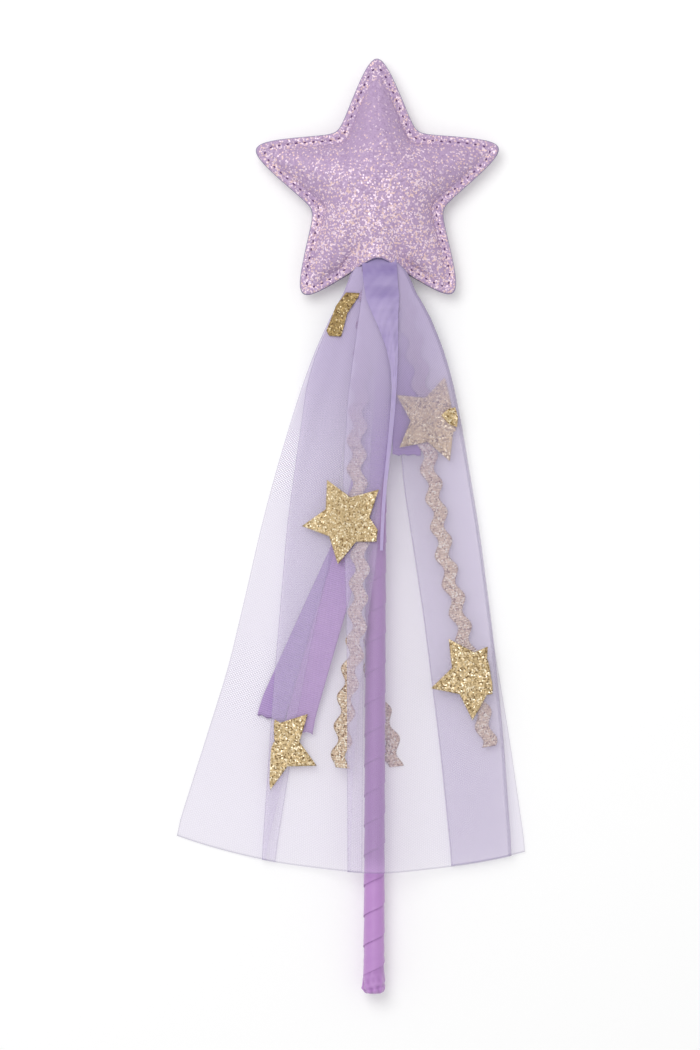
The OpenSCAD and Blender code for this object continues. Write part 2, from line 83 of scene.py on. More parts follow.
# %% Sizes
DOWEL_R, STAR_Y = 4.0, 338.0
WRAP_IN = (DOWEL_R + 0.05) / np.cos(np.pi / 16)
WRAP_T, WRAP_PITCH = 0.36, 12.6
STAR_TIP, STAR_NOTCH, TIP_SOFT, NOTCH_SOFT = 66.6, 27.6, 5.3, 6.0
STAR_NARROW, STAR_TURN, POINT_CURVE = 0.982, 0.55, 0.2
PUFF_FRONT, PUFF_BACK, PANEL_T, FLANGE, HALF_GAP = 9.5, 6.8, 0.7, 3.9, 0.05
STITCH_IN, STITCH_PITCH, STITCH_L, STITCH_R = 2.5, 3.6, 1.4, 0.34
NECK_FRONT, NECK_BACK = 8.0, 6.6
DRAPE_L, REACH, PLY, TENT_W = 250.0, 84.0, 0.66, 16.0
FLOOR_Z = -(HALF_GAP + PANEL_T + PUFF_BACK)
REST_TOP = WRAP_IN + WRAP_T + 0.3
REST_FLOOR = FLOOR_Z + 0.45


def ease(f):
    """A step from 0 to 1 with flat ends: 3 f squared minus 2 f cubed, on f held between 0 and 1."""
    c = np.clip(f, 0, 1)
    return c * c * (3 - 2 * c)


def mix(a, b, f):
    """The point a share f of the way from a to b."""
    return a + (b - a) * f


print("dowel", 2 * DOWEL_R, "mm thick, drape", DRAPE_L, "mm long, star's middle at", STAR_Y, "mm")

# %% [markdown]
# ## From arrays to meshes
# A surface is a grid of points, one row after another. A closed piece is two grids, a top and a
# bottom, joined round their border. Both kinds go into Blender through these helpers, so the rest
# of the file only works out points.

# %% Mesh helpers
def grid_faces(rows, cols, closed=False, looped=False):
    """Quads of a grid of rows x cols points. closed joins the last column to the first, looped the last row."""
    r = np.arange(rows if looped else rows - 1)[:, None]
    c = np.arange(cols if closed else cols - 1)[None, :]
    below, beside = (r + 1) % rows, (c + 1) % cols
    r, below = r * cols, below * cols
    return np.stack([r + c, below + c, below + beside, r + beside], -1).reshape(-1, 4)


def piece(name, points, faces, *materials, uv=None, marks=None, second=None):
    """A smooth mesh object from points in millimetres and lists of faces. uv has a pair for each point, marks
    are named values for each point, and second says which faces take the second material."""
    mesh = bpy.data.meshes.new(name)
    places = np.asarray(points).reshape(-1, 3) * MM
    mesh.from_pydata(places.tolist(), [], [face for part in faces for face in part.tolist()])
    mesh.polygons.foreach_set("use_smooth", np.ones(len(mesh.polygons), bool))
    for material in materials:
        mesh.materials.append(material)
    if second is not None:
        mesh.polygons.foreach_set("material_index", np.asarray(second, np.int32))
    if uv is not None:
        corner = np.zeros(len(mesh.loops), np.int32)
        mesh.loops.foreach_get("vertex_index", corner)
        layer = mesh.uv_layers.new(name="cloth")
        layer.data.foreach_set("uv", np.asarray(uv, np.float32).reshape(-1, 2)[corner].ravel())
    for key, value in (marks or {}).items():
        mesh.attributes.new(key, "FLOAT", "POINT").data.foreach_set("value", np.asarray(value, np.float32).ravel())
    mesh.validate()
    thing = bpy.data.objects.new(name, mesh)
    bpy.context.scene.collection.objects.link(thing)
    return thing


def slab(name, top, bottom, material, uv, **marks):
    """A closed piece between two open grids of one shape: both skins, and walls round the border. Both skins take the
    same uv and the same marks."""
    rows, cols = top.shape[:2]
    n = rows * cols
    g = np.arange(n).reshape(rows, cols)
    edge = np.concatenate([g[0, :-1], g[:-1, -1], g[-1, :0:-1], g[:0:-1, 0]])
    after = np.roll(edge, -1)
    skin = grid_faces(rows, cols)
    walls = np.stack([edge, after, after + n, edge + n], -1)
    twice = {key: np.tile(np.broadcast_to(value, (rows, cols)).ravel(), 2) for key, value in marks.items()}
    return piece(name, np.concatenate([top, bottom]), [skin, skin[:, ::-1] + n, walls], material,
                 uv=np.concatenate([uv, uv]), marks=twice)


def closed_rings(upper, lower):
    """Points and faces of a closed piece between two stacks of rings, numbered clockwise from the middle outwards.
    A fan closes each middle, and a wall joins the two outermost rings."""
    rings, count = upper.shape[:2]
    n = rings * count
    k = np.arange(count)
    after = (k + 1) % count
    rim = n - count
    middles = np.stack([upper[0].mean(0), lower[0].mean(0)])
    skin = grid_faces(rings, count, closed=True)
    wall = np.stack([rim + after, rim + after + n, rim + k + n, rim + k], -1)
    fan_up = np.stack([np.full(count, 2 * n), after, k], -1)
    fan_down = np.stack([np.full(count, 2 * n + 1), k + n, after + n], -1)
    points = np.concatenate([upper.reshape(-1, 3), lower.reshape(-1, 3), middles])
    return points, [skin[:, ::-1], skin + n, wall, fan_up, fan_down]


print("helpers ready")

# %% [markdown]
# ## Finishes
# The wand has a handful of finishes. Effects that more than one of them uses are shader groups:
# glitter flakes for the lilac fabric, the gold stars and the braid, and woven threads for the
# ribbons, braid, wood and sewing thread. The net of the tulle is a third group, because the flat
# and the folded tulle share it.

# %% Shader helpers
def srgb(r, g, b):
    """A colour read from a screen, 0 to 255, as the linear colour that a shader takes."""
    c = np.array([r, g, b]) / 255
    lin = np.where(c <= 0.04045, c / 12.92, ((c + 0.055) / 1.055) ** 2.4)
    return (*lin.tolist(), 1.0)


def wire(tree, value, socket):
    """Joins a socket to a socket, or sets a plain number or colour on it."""
    if isinstance(value, bpy.types.NodeSocket):
        tree.links.new(value, socket)
    else:
        socket.default_value = value


def add(tree, kind, values=None, **settings):
    """A new shader node with its settings, and values for its inputs by name or number; its outputs."""
    node = tree.nodes.new("ShaderNode" + kind)
    for key, value in settings.items():
        setattr(node, key, value)
    for key, value in (values or {}).items():
        wire(tree, value, node.inputs[key])
    return node.outputs


def math(tree, operation, *values):
    """The result of a Math node."""
    return add(tree, "Math", dict(enumerate(values)), operation=operation)[0]


def vector_math(tree, operation, a, b):
    """The outputs of a Vector Math node on two vectors."""
    return add(tree, "VectorMath", {0: a, 1: b}, operation=operation)


def ramp(tree, value, low, high):
    """A smooth step of value from 0 at low to 1 at high."""
    return add(tree, "MapRange", {0: value, 1: low, 2: high, 3: 0.0, 4: 1.0}, interpolation_type="SMOOTHSTEP")[0]


def noise(tree, vector, scale, detail):
    """Soft noise from 0 to 1."""
    return add(tree, "TexNoise", {"Vector": vector, "Scale": scale, "Detail": detail})["Fac"]


def blend_colour(tree, share, a, b):
    """Colour a, turned to colour b by share."""
    return add(tree, "Mix", {0: share, 6: a, 7: b}, data_type="RGBA")[2]


def mark(tree, name):
    """A value that the piece carries at its points."""
    return add(tree, "Attribute", attribute_name=name)["Fac"]


def coordinates(tree, kind="Object"):
    """Places on the piece: Object in metres, or UV, the cloth's own map."""
    return add(tree, "TexCoord")[kind]


def bump(tree, shader, height, distance):
    """Feeds a height, times a distance in metres, to the shader's normal."""
    wire(tree, add(tree, "Bump", {"Height": height, "Distance": distance})[0], shader.inputs["Normal"])


def new_group(name, inputs, outputs):
    """An empty shader group with named sockets; its tree, its inputs and its outputs."""
    tree = bpy.data.node_groups.new(name, "ShaderNodeTree")
    for way, sockets in (("INPUT", inputs), ("OUTPUT", outputs)):
        for label, kind in sockets:
            tree.interface.new_socket(label, in_out=way, socket_type="NodeSocket" + kind)
    return tree, tree.nodes.new("NodeGroupInput").outputs, tree.nodes.new("NodeGroupOutput").inputs


def close_group(tree, result, **values):
    """Wires the values that a group puts out."""
    for label, value in values.items():
        wire(tree, value, result[label])
    print("group", tree.name, "of", len(tree.nodes), "nodes")
    return tree


def use_group(tree, group, **values):
    """The group placed in a material with its own values; its outputs."""
    return add(tree, "Group", {label.replace("_", " "): value for label, value in values.items()}, node_tree=group)


def new_material(name, **constants):
    """A material, its tree and its Principled shader, with the plain values set on the shader."""
    material = bpy.data.materials.new(name)
    material.use_nodes = True
    tree = material.node_tree
    shader = tree.nodes["Principled BSDF"]
    for label, value in constants.items():
        shader.inputs[label.replace("_", " ")].default_value = value
    return material, tree, shader


print("shader helpers ready")

# %% [markdown]
# ### Glitter flakes
# Glitter is a layer of tiny flat flakes that each lie at their own tilt. A Voronoi pattern gives
# the flakes: each cell has a random colour value, which picks its brightness, and a random tilt,
# which is the height of a sloping plane over the cell. The slope turns the normal, so that flakes
# catch the lamp one by one. A share of the flakes, set by Sparkle, flash: they take the bright and
# tint colours, a painted glint on top of the real one.

# %% Glitter group
tree, given, result = new_group(
    "glitter flakes",
    [("Vector", "Vector"), ("Fineness", "Float"), ("Sparkle", "Float"), ("Dark", "Color"), ("Body", "Color"),
     ("Bright", "Color"), ("Tint", "Color")],
    [("Color", "Color"), ("Height", "Float"), ("Flash", "Float")],
)
cells = add(tree, "TexVoronoi", {"Vector": given["Vector"], "Scale": given["Fineness"]})
chance = add(tree, "SeparateColor", {0: cells["Color"]})
shade = blend_colour(tree, ramp(tree, chance[0], 0.0, 0.45), given["Dark"], given["Body"])
# Flashing flakes take the bright colours: a painted glint.
hot = blend_colour(tree, ramp(tree, chance[1], 0.35, 0.75), given["Bright"], given["Tint"])
start = math(tree, "SUBTRACT", 1.0, given["Sparkle"])
flash = ramp(tree, chance[2], start, math(tree, "ADD", start, 0.22))
lean = vector_math(tree, "SUBTRACT", cells["Color"], (0.5, 0.5, 0.5))[0]
away = vector_math(tree, "SUBTRACT", given["Vector"], cells["Position"])[0]
slope = vector_math(tree, "DOT_PRODUCT", lean, away)["Value"]
glitter_group = close_group(tree, result, Color=blend_colour(tree, flash, shade, hot), Flash=flash, Height=slope)

# %% [markdown]
# ### Woven threads
# Ribbon, braid and sewing thread are all woven or twisted. Waves along the piece give the ribs,
# weaker waves across them the other set of threads, and a little noise breaks the evenness.

# %% Woven group
tree, given, result = new_group(
    "woven threads",
    [("Vector", "Vector"), ("Ribs", "Float"), ("Cross ribs", "Float"), ("Uneven", "Float")],
    [("Rib", "Float"), ("Height", "Float"), ("Patch", "Float")],
)
place = add(tree, "SeparateXYZ", {0: given["Vector"]})
patch = noise(tree, given["Vector"], given["Uneven"], 3.0)
wobble = math(tree, "MULTIPLY", patch, 1.2)
along = math(tree, "SINE", math(tree, "ADD", math(tree, "MULTIPLY", place[1], given["Ribs"]), wobble))
across = math(tree, "SINE", math(tree, "MULTIPLY", place[0], given["Cross ribs"]))
rib = math(tree, "MULTIPLY_ADD", along, 0.5, 0.5)
woven_group = close_group(tree, result, Rib=rib, Height=math(tree, "MULTIPLY_ADD", across, 0.22, rib), Patch=patch)

# %% [markdown]
# ### Tulle net
# Tulle is a net of six-sided holes. Three waves at 60 degrees to each other add up to such a net:
# their sum is high in the holes and low on the threads. The net only changes how much of the sheet
# covers what lies behind it. Near the gather the same threads crowd into less room, which counts
# as more layers. Cut edges and folds cover a little more.

# %% Net group
tree, given, result = new_group(
    "tulle net",
    [("Vector", "Vector"), ("Pitch", "Float"), ("Cover", "Float"), ("Gather", "Float"), ("Rim", "Float")],
    [("Alpha", "Float"), ("Thread", "Float")],
)
waves = []
for angle in np.radians((0, 60, 120)):
    way = vector_math(tree, "DOT_PRODUCT", given["Vector"], (np.cos(angle), np.sin(angle), 0))["Value"]
    waves.append(math(tree, "COSINE", math(tree, "MULTIPLY", way, given["Pitch"])))
holes = math(tree, "ADD", math(tree, "ADD", waves[0], waves[1]), waves[2])
thread = math(tree, "SUBTRACT", 1.0, ramp(tree, holes, -1.6, 1.8))
cover = math(tree, "MULTIPLY", given["Cover"], math(tree, "MULTIPLY_ADD", thread, 0.24, 0.88))
layers = math(tree, "MULTIPLY_ADD", given["Gather"], 5.0, 1.0)
cover = math(tree, "SUBTRACT", 1.0, math(tree, "POWER", math(tree, "SUBTRACT", 1.0, cover), layers))
cover = math(tree, "ADD", cover, math(tree, "MULTIPLY", given["Rim"], 0.24))
net_group = close_group(tree, result, Thread=thread, Alpha=math(tree, "MINIMUM", cover, 0.94))

# %% [markdown]
# ### The materials
# Each material is a Principled shader fed by a group. What is the same all over is set on the
# shader itself. The lilac fabric sparkles more in its lower half, as on the photographed star,
# where the padding faces the light, and near its flat rim: a painted glint. Some materials also read
# marks, values that a piece carries at its points: how much painted shade it takes, deep under the
# gathered net, in crumples and under a lapping turn, how near it is to an edge or a fold, and how
# closely the net is gathered, which also deepens the net's colour, partly as painted shade.

# %% Lilac glitter fabric
def flakes_of(tree, fineness, sparkle, *colours):
    """Glitter flakes on the piece in four colours, dark, body, bright and tint; the group's outputs."""
    named = dict(zip(("Dark", "Body", "Bright", "Tint"), (srgb(*colour) for colour in colours)))
    return use_group(tree, glitter_group, Vector=coordinates(tree), Fineness=fineness, Sparkle=sparkle, **named)


def glitter_finish(tree, shader, flakes, relief, dull, flash_dull):
    """Feeds flakes to a shader: their colour, their tilt as relief, and a roughness of dull, plus flash_dull where a
    flake flashes."""
    wire(tree, flakes["Color"], shader.inputs["Base Color"])
    wire(tree, math(tree, "MULTIPLY_ADD", flakes["Flash"], flash_dull, dull), shader.inputs["Roughness"])
    bump(tree, shader, flakes["Height"], relief)


glitter_fabric, tree, shader = new_material("lilac glitter fabric", Metallic=0.15, Coat_Weight=0.1, Coat_Roughness=0.25)
spot = coordinates(tree)
axes = add(tree, "SeparateXYZ", {0: spot})
cloud = noise(tree, spot, 38.0, 3.0)
# Painted glint: more flakes flash in the star's lower half, where the padding faces the light, and near its flat rim.
lower = ramp(tree, axes[1], 0.366, 0.322)
rim_band = ramp(tree, math(tree, "ABSOLUTE", axes[2]), 0.0018, 0.0008)
glint_share = math(tree, "MAXIMUM", lower, math(tree, "MULTIPLY", rim_band, 0.75))
sparkle = math(tree, "MULTIPLY_ADD", glint_share, 0.3, math(tree, "MULTIPLY_ADD", cloud, 0.45, -0.04))
flakes = flakes_of(tree, 1550.0, sparkle, (180, 150, 189), (188, 160, 196), (246, 222, 238), (246, 212, 208))
glitter_finish(tree, shader, flakes, 0.5, 0.55, -0.2)
print("finish", glitter_fabric.name)

# %% Gold glitter and cut edges
def gold_material(name, relief, sparkle, *colours):
    """Gold glitter film: flakes in the four colours given."""
    material, tree, shader = new_material(name, Metallic=0.4)
    glitter_finish(tree, shader, flakes_of(tree, 1700.0, sparkle, *colours), relief, 0.42, -0.12)
    return material


gold_glitter = gold_material("gold glitter", 0.6, 0.36,
                             (128, 98, 54), (206, 180, 134), (255, 240, 208), (240, 214, 168))
# A darker copy of the gold glitter: painted shade for the star that lies folded on the slope.
gold_in_shade = gold_material("gold glitter in painted shade", 0.7, 0.22,
                          (104, 76, 44), (172, 144, 92), (250, 228, 180), (222, 188, 120))
cut_edge, tree, shader = new_material("pale cut edge", Roughness=0.8)
grain = noise(tree, coordinates(tree), 900.0, 2.0)
wire(tree, blend_colour(tree, grain, srgb(140, 128, 164), srgb(180, 170, 200)), shader.inputs["Base Color"])
print("finishes", gold_glitter.name, "-", gold_in_shade.name, "-", cut_edge.name)

# %% Ribbons and threads
UV_MM = 300.0


def turns(pitch):
    """How fast a wave turns along the cloth's map, of which one unit is UV_MM, for a pitch in millimetres."""
    return 2 * np.pi * UV_MM / pitch


def woven_material(name, low, high, ribs, cross, uneven, depth, kind="UV", under=None, **constants):
    """A woven finish: colour low between the ribs and high on them, varied in patches, and turning to the colour under,
    a painted shade, where a piece is marked as lying deep under the gathered net, in crumples or under a lapping turn."""
    material, tree, shader = new_material(name, **constants)
    threads = use_group(tree, woven_group, Vector=coordinates(tree, kind), Ribs=ribs, Cross_ribs=cross, Uneven=uneven)
    share = math(tree, "MULTIPLY_ADD", threads["Patch"], 0.5, math(tree, "MULTIPLY", threads["Rib"], 0.5))
    tone = blend_colour(tree, share, srgb(*low), srgb(*high))
    # Painted shade: the tone turns to the colour under by the mark under.
    if under:
        tone = blend_colour(tree, mark(tree, "under"), tone, srgb(*under))
    wire(tree, tone, shader.inputs["Base Color"])
    bump(tree, shader, threads["Height"], depth)
    return material


# The colours under are painted shade for the tails where they lie deep under the gathered net.
grosgrain, grosgrain_pink = (
    woven_material(name, low, high, turns(0.8), turns(0.5), 60.0, 0.00012, under=under, Roughness=0.62,
                   Sheen_Weight=0.2)
    for name, low, high, under in (
        ("violet grosgrain ribbon", (162, 132, 190), (196, 170, 218), (150, 118, 186)),
        ("pink lilac grosgrain ribbon", (170, 132, 192), (202, 166, 216), (150, 114, 184)),
    ))
# The satin's colour under is painted shade: under the net, under each lapping turn and in the foot's crumples.
satin = woven_material("satin ribbon", (175, 124, 193), (205, 156, 216), turns(0.45), turns(6.0),
                       24.0, 0.00003, under=(134, 78, 152), Roughness=0.36, Sheen_Weight=0.2)
bunched_tulle = woven_material("bunched tulle", (142, 124, 186), (180, 162, 212), turns(1.3), turns(2.3),
                               40.0, 0.0002, Roughness=0.85)
thread_dark, fibre, wood = (
    woven_material(*values, kind="Object", Roughness=dull) for dull, values in (
        (0.7, ("dark sewing thread", (88, 54, 100), (122, 84, 136), 9000.0, 5000.0, 800.0, 0.0001)),
        (0.95, ("white stuffing fibre", (225, 222, 226), (246, 245, 246), 1400.0, 900.0, 260.0, 0.0004)),
        (0.6, ("pale wood", (190, 150, 104), (222, 188, 142), 260.0, 2600.0, 120.0, 0.00006)),
    ))
print("finishes", [m.name for m in (grosgrain, grosgrain_pink, satin, bunched_tulle, thread_dark, fibre, wood)])

# %% Glitter braid
gold_braid, tree, shader = new_material("gold glitter braid", Metallic=0.25, Roughness=0.45)
threads = use_group(tree, woven_group, Vector=coordinates(tree, "UV"), Ribs=turns(1.0), Cross_ribs=turns(1.3),
                    Uneven=160.0)
flakes = flakes_of(tree, 1500.0, 0.42, (150, 118, 96), (222, 196, 168), (255, 246, 230), (246, 222, 196))
between_ribs = math(tree, "MULTIPLY_ADD", threads["Rib"], 0.55, 0.05)
outline = math(tree, "MULTIPLY", ramp(tree, mark(tree, "edge"), 0.7, 1.0), between_ribs)
tone = blend_colour(tree, outline, flakes["Color"], srgb(122, 92, 78))
# Painted shade: the braid turns to a muted lilac where it is marked as lying deep under the gathered net.
wire(tree, blend_colour(tree, mark(tree, "under"), tone, srgb(178, 156, 202)), shader.inputs["Base Color"])
bump(tree, shader, threads["Height"], 0.0003)
print("finish", gold_braid.name)

# %% Tulle
def tulle_material(name, cover, light, deep_shade, relief):
    """Net of tulle: see-through by the net's cover, from light to deep towards the gather, partly for the crowded
    threads and partly as painted shade, grey at rims and folds.
    """
    material, tree, shader = new_material(name, Roughness=0.85, Sheen_Weight=0.1)
    gather, rim = mark(tree, "gather"), mark(tree, "rim")
    net = use_group(tree, net_group, Vector=coordinates(tree, "UV"), Pitch=turns(0.9), Cover=cover, Gather=gather,
                    Rim=rim)
    tone = blend_colour(tree, gather, light, deep_shade)
    wire(tree, blend_colour(tree, rim, tone, srgb(134, 124, 160)), shader.inputs["Base Color"])
    wire(tree, net["Alpha"], shader.inputs["Alpha"])
    bump(tree, shader, net["Thread"], relief)
    return material


# The deep colours are partly painted shade of the gathered net near the star, darkest on the folded band.
tulle = tulle_material("lavender tulle", 0.25, srgb(218, 206, 234), srgb(194, 177, 216), 0.00001)
folded_tulle = tulle_material("folded lavender tulle", 0.6, srgb(206, 190, 230), srgb(138, 120, 176), 0.00005)
print("finishes", tulle.name, "-", folded_tulle.name)

# %% [markdown]
# ## Table and light
# The table is a large pale plane. It adds a little white of its own for rays that come from the
# camera, so its lit part is pure white while the shadow still shows. A broad lamp to the upper
# left gives the soft shadows on the right of the star and stick, and a white surround fills them.

# %% Stage
floor_material, tree, shader = new_material("white table", Roughness=0.9)
shader.inputs["Base Color"].default_value = (0.9, 0.9, 0.9, 1)
path = add(tree, "LightPath")
mirrored = math(tree, "MAXIMUM", path["Is Glossy Ray"], path["Is Transmission Ray"])
seen = math(tree, "MAXIMUM", path["Is Camera Ray"], mirrored)
shader.inputs["Emission Color"].default_value = (1, 1, 1, 1)
wire(tree, math(tree, "MULTIPLY", seen, 0.125), shader.inputs["Emission Strength"])
TABLE_HALF, TABLE_MIDDLE, TABLE_GAP = 4000.0, 200.0, 0.02
corners = np.array([[-1, -1, 0], [1, -1, 0], [1, 1, 0], [-1, 1, 0]]) * TABLE_HALF
floor = piece("table", corners + [0, TABLE_MIDDLE, FLOOR_Z - TABLE_GAP], [np.array([[0, 1, 2, 3]])], floor_material)

lamp = bpy.data.lights.new("soft key", "AREA")
lamp.size = 0.9
lamp.energy = 9.0
key = bpy.data.objects.new("soft key", lamp)
key.location = (-0.4, 0.76, 1.28)
aim = np.array([0.0, 0.2, 0.0]) - np.array(key.location)
key.rotation_euler = (np.arctan2(np.hypot(aim[0], aim[1]), -aim[2]), 0, np.arctan2(aim[1], aim[0]) - np.pi / 2)
bpy.context.scene.collection.objects.link(key)

world = bpy.data.worlds.new("white surround")
bpy.context.scene.world = world
world.use_nodes = True
tree = world.node_tree
background = tree.nodes["Background"].inputs
wire(tree, math(tree, "MULTIPLY_ADD", add(tree, "LightPath")["Is Camera Ray"], 0.32, 0.68), background["Strength"])
background["Color"].default_value = (1, 1, 1, 1)
bpy.context.scene.view_settings.view_transform = "Standard"
print("lamp at", list(key.location))

# %% [markdown]
# ## The padded star
# Two star-shaped pieces of glitter fabric are sewn together near their edge and stuffed, so each
# panel is a flat flange outside the seam and a soft dome inside it. The outline is a polar curve:
# straight edges between points and notches, softened by adding a small angle in quadrature. The
# dome is a skin pushed up inside the seam, which is relaxed on a square grid of cells and read at
# rings of points. At the lower notch a tunnel lifts the fabric over the stick and the gather.

# %% Star outline
def star_edge(angle, tip, notch, tip_soft, notch_soft):
    """Radius of a five-pointed outline at an angle in degrees from its upper point.
    Between a tip and a notch the edge is the straight line through both. The angle from the tip, and then the angle
    to the notch, is softened by the root of the sum of squares with a small angle, which rounds the corners."""
    off = np.abs((angle + 36) % 72 - 36)
    to_notch = np.hypot(36 - np.hypot(off, tip_soft), notch_soft)
    spread = tip * np.sin(np.radians(36 - to_notch)) + notch * np.sin(np.radians(to_notch))
    return tip * notch * np.sin(np.pi / 5) / spread


POINT_HALF = np.arctan2(STAR_NOTCH * np.sin(np.pi / 5), STAR_TIP - STAR_NOTCH * np.cos(np.pi / 5))
NOTCH_LEAN = np.radians(54) - POINT_HALF


def star_outline(angle, inset):
    """Radius of the star's outline moved in by an inset: tip and notch move along their own bisectors."""
    return star_edge(angle, STAR_TIP - inset / np.sin(POINT_HALF), STAR_NOTCH - inset / np.cos(NOTCH_LEAN),
                     TIP_SOFT * (1 - inset / (POINT_CURVE * STAR_TIP)), NOTCH_SOFT)


def star_xy(angle, radius):
    """Place on the table of a point of the star, angle from the upper point, clockwise. The star is a little narrow
    and leans to the left."""
    a = np.radians(angle - STAR_TURN)
    return STAR_NARROW * radius * np.sin(a), STAR_Y + radius * np.cos(a)


MOUTH_Y = STAR_Y - star_outline(36.0, 0.0)
GATHER_Y, SEAM_OPEN = MOUTH_Y - 7.1, MOUTH_Y + 16
directions = np.arange(120) * 3.0
seam_angles = np.linspace(0, 360, 1441)
seam_x, seam_y = star_xy(seam_angles, star_outline(seam_angles, STITCH_IN))
seam_run = np.concatenate([[0], np.cumsum(np.hypot(np.diff(seam_x), np.diff(seam_y)))])
stitch_count = int(seam_run[-1] / STITCH_PITCH)
print("seam", round(seam_run[-1], 1), "mm, notch at", round(MOUTH_Y, 1), "gather at", round(GATHER_Y, 1))

# %% Stretched fabric
CELL, HALF_CELLS, PASSES, PUSH, PLUMP = 0.7, 80, 1800, 0.01, 0.56
TUNNEL_W, TUNNEL_FADE = 10.5, 14.0


def stretched_fabric():
    """Height, 0 to 1, of an even skin that is pushed up inside the seam, on a square grid of cells about the star's
    middle. Each pass gives a cell the mean of its four neighbours plus a small push; the share of a cell that lies
    outside the seam holds it down. A power below one makes the pushed skin plump."""
    steps = np.arange(-HALF_CELLS, HALF_CELLS + 1) * CELL
    x, y = np.meshgrid(steps, steps)
    angle = np.degrees(np.arctan2(x / STAR_NARROW, y)) + STAR_TURN
    room = star_outline(angle, FLANGE - 0.3) - np.hypot(x / STAR_NARROW, y)
    free = np.clip(room / CELL + 0.5, 0, 1)
    skin = 0.0 * x
    for _ in range(PASSES):
        beside = np.roll(skin, 1, 0) + np.roll(skin, -1, 0) + np.roll(skin, 1, 1) + np.roll(skin, -1, 1)
        skin = free * (beside / 4 + PUSH)
    return (skin / skin.max()) ** PLUMP


skin_height = stretched_fabric()


def between(table, row, column):
    """Values between the rows and columns of a table, from the four entries around each place. The first column
    follows the last."""
    i, j = row.astype(int), column.astype(int)
    p, q, k = row - i, column - j, (j + 1) % table.shape[1]
    if table.ndim == 3:
        p, q = p[..., None], q[..., None]
    return mix(mix(table[i, j], table[i + 1, j], p), mix(table[i, k], table[i + 1, k], p), q)


def skin_at(x, y):
    """The skin's height at places on the table."""
    row, column = (np.clip(d / CELL + HALF_CELLS, 0, 2 * HALF_CELLS - 1) for d in (y - STAR_Y, x))
    return between(skin_height, row, column)


def tunnel(x, y, neck):
    """Height of the tunnel over the stick: a bell across it that fades in towards the notch."""
    return neck * np.exp(-np.abs(x / TUNNEL_W) ** 2.6) * ease((STAR_Y - 2 - y) / TUNNEL_FADE)


def dome(share, x, y, puff, neck):
    """Height of the padding: the stretched skin, brought to zero at the seam, where share is 1, and joined by a high
    norm with the tunnel."""
    crown = puff * skin_at(x, y) * (1 - np.clip(share, 0, 1) ** 14)
    return (crown ** 4 + tunnel(x, y, neck) ** 4) ** 0.25


def dome_rings(f, angle):
    """Radius of the dome's rings at shares f: they change from a circle in the middle to the star at the seam."""
    return f * mix(star_outline(36.0, FLANGE), star_outline(angle, FLANGE), f)


print("skin relaxed on", skin_height.shape, "cells")

# %% [markdown]
# ### Filling the panels as cloth
# A stuffed panel is fabric under an even push from inside, held along its seam. Blender's cloth solver
# does that: the relaxed skin is copied on a coarse grid, pinned at the seam and over the stick, and
# run for twenty frames with pressure and no gravity. Only its movement is kept, no more than a
# millimetre and a half, and carried over to the fine panels, so the sewn edge stays as it is.

# %% Cloth
RINGS, SPOKES, FIRST_RING, FRAMES, MOST = 26, 120, 0.04, 20, 1.5
bpy.context.scene.frame_set(1)


def filled(name, puff, neck):
    """How a panel's rings move when it is filled: frames of cloth under pressure, held at the seam and over the stick,
    with each point's movement cut off at the most that is allowed."""
    angle = np.arange(SPOKES) * 360 / SPOKES
    f = np.linspace(FIRST_RING, 1, RINGS)[:, None]
    x, y = star_xy(angle, dome_rings(f, angle))
    rest = np.stack([x, y, dome(f, x, y, puff, neck)], -1)
    trial = piece(name, rest, [grid_faces(RINGS, SPOKES, closed=True)[:, ::-1], np.arange(SPOKES)[None, ::-1]])
    held = (f == 1) | ((np.abs(x) < 10) & (y < SEAM_OPEN))
    trial.vertex_groups.new(name="held").add(np.flatnonzero(held).tolist(), 1.0, "REPLACE")
    cloth = trial.modifiers.new("cloth", "CLOTH").settings
    cloth.vertex_group_mass = "held"
    cloth.use_pressure = True
    cloth.uniform_pressure_force = 200.0
    cloth.mass, cloth.bending_stiffness = 0.02, 0.01
    cloth.tension_stiffness = cloth.compression_stiffness = cloth.shear_stiffness = 0.2
    cloth.effector_weights.gravity = 0.0
    for number in range(1, FRAMES + 1):
        bpy.context.scene.frame_set(number)
    shape = trial.evaluated_get(bpy.context.evaluated_depsgraph_get()).data
    moved = np.zeros(rest.size)
    shape.vertices.foreach_get("co", moved)
    bpy.data.objects.remove(trial)
    bpy.context.scene.frame_set(1)
    step = moved.reshape(rest.shape) / MM - rest
    far = np.linalg.norm(step, axis=-1, keepdims=True)
    print(name, "moves", round(float(far.max()), 2), "mm at most, mean", round(float(far.mean()), 2))
    return step * np.minimum(1, MOST / np.maximum(far, 1e-6))


def carried(step, f, angle):
    """The movement at ring shares f and angles."""
    ring = (f - FIRST_RING) / (1 - FIRST_RING) * (RINGS - 1)
    return between(step, np.clip(ring, 0, RINGS - 1.001), angle * SPOKES / 360)


front_fill = filled("front_trial", PUFF_FRONT, NECK_FRONT)
back_fill = filled("back_trial", PUFF_BACK, NECK_BACK)

# %% Star panels
STEPS = 540


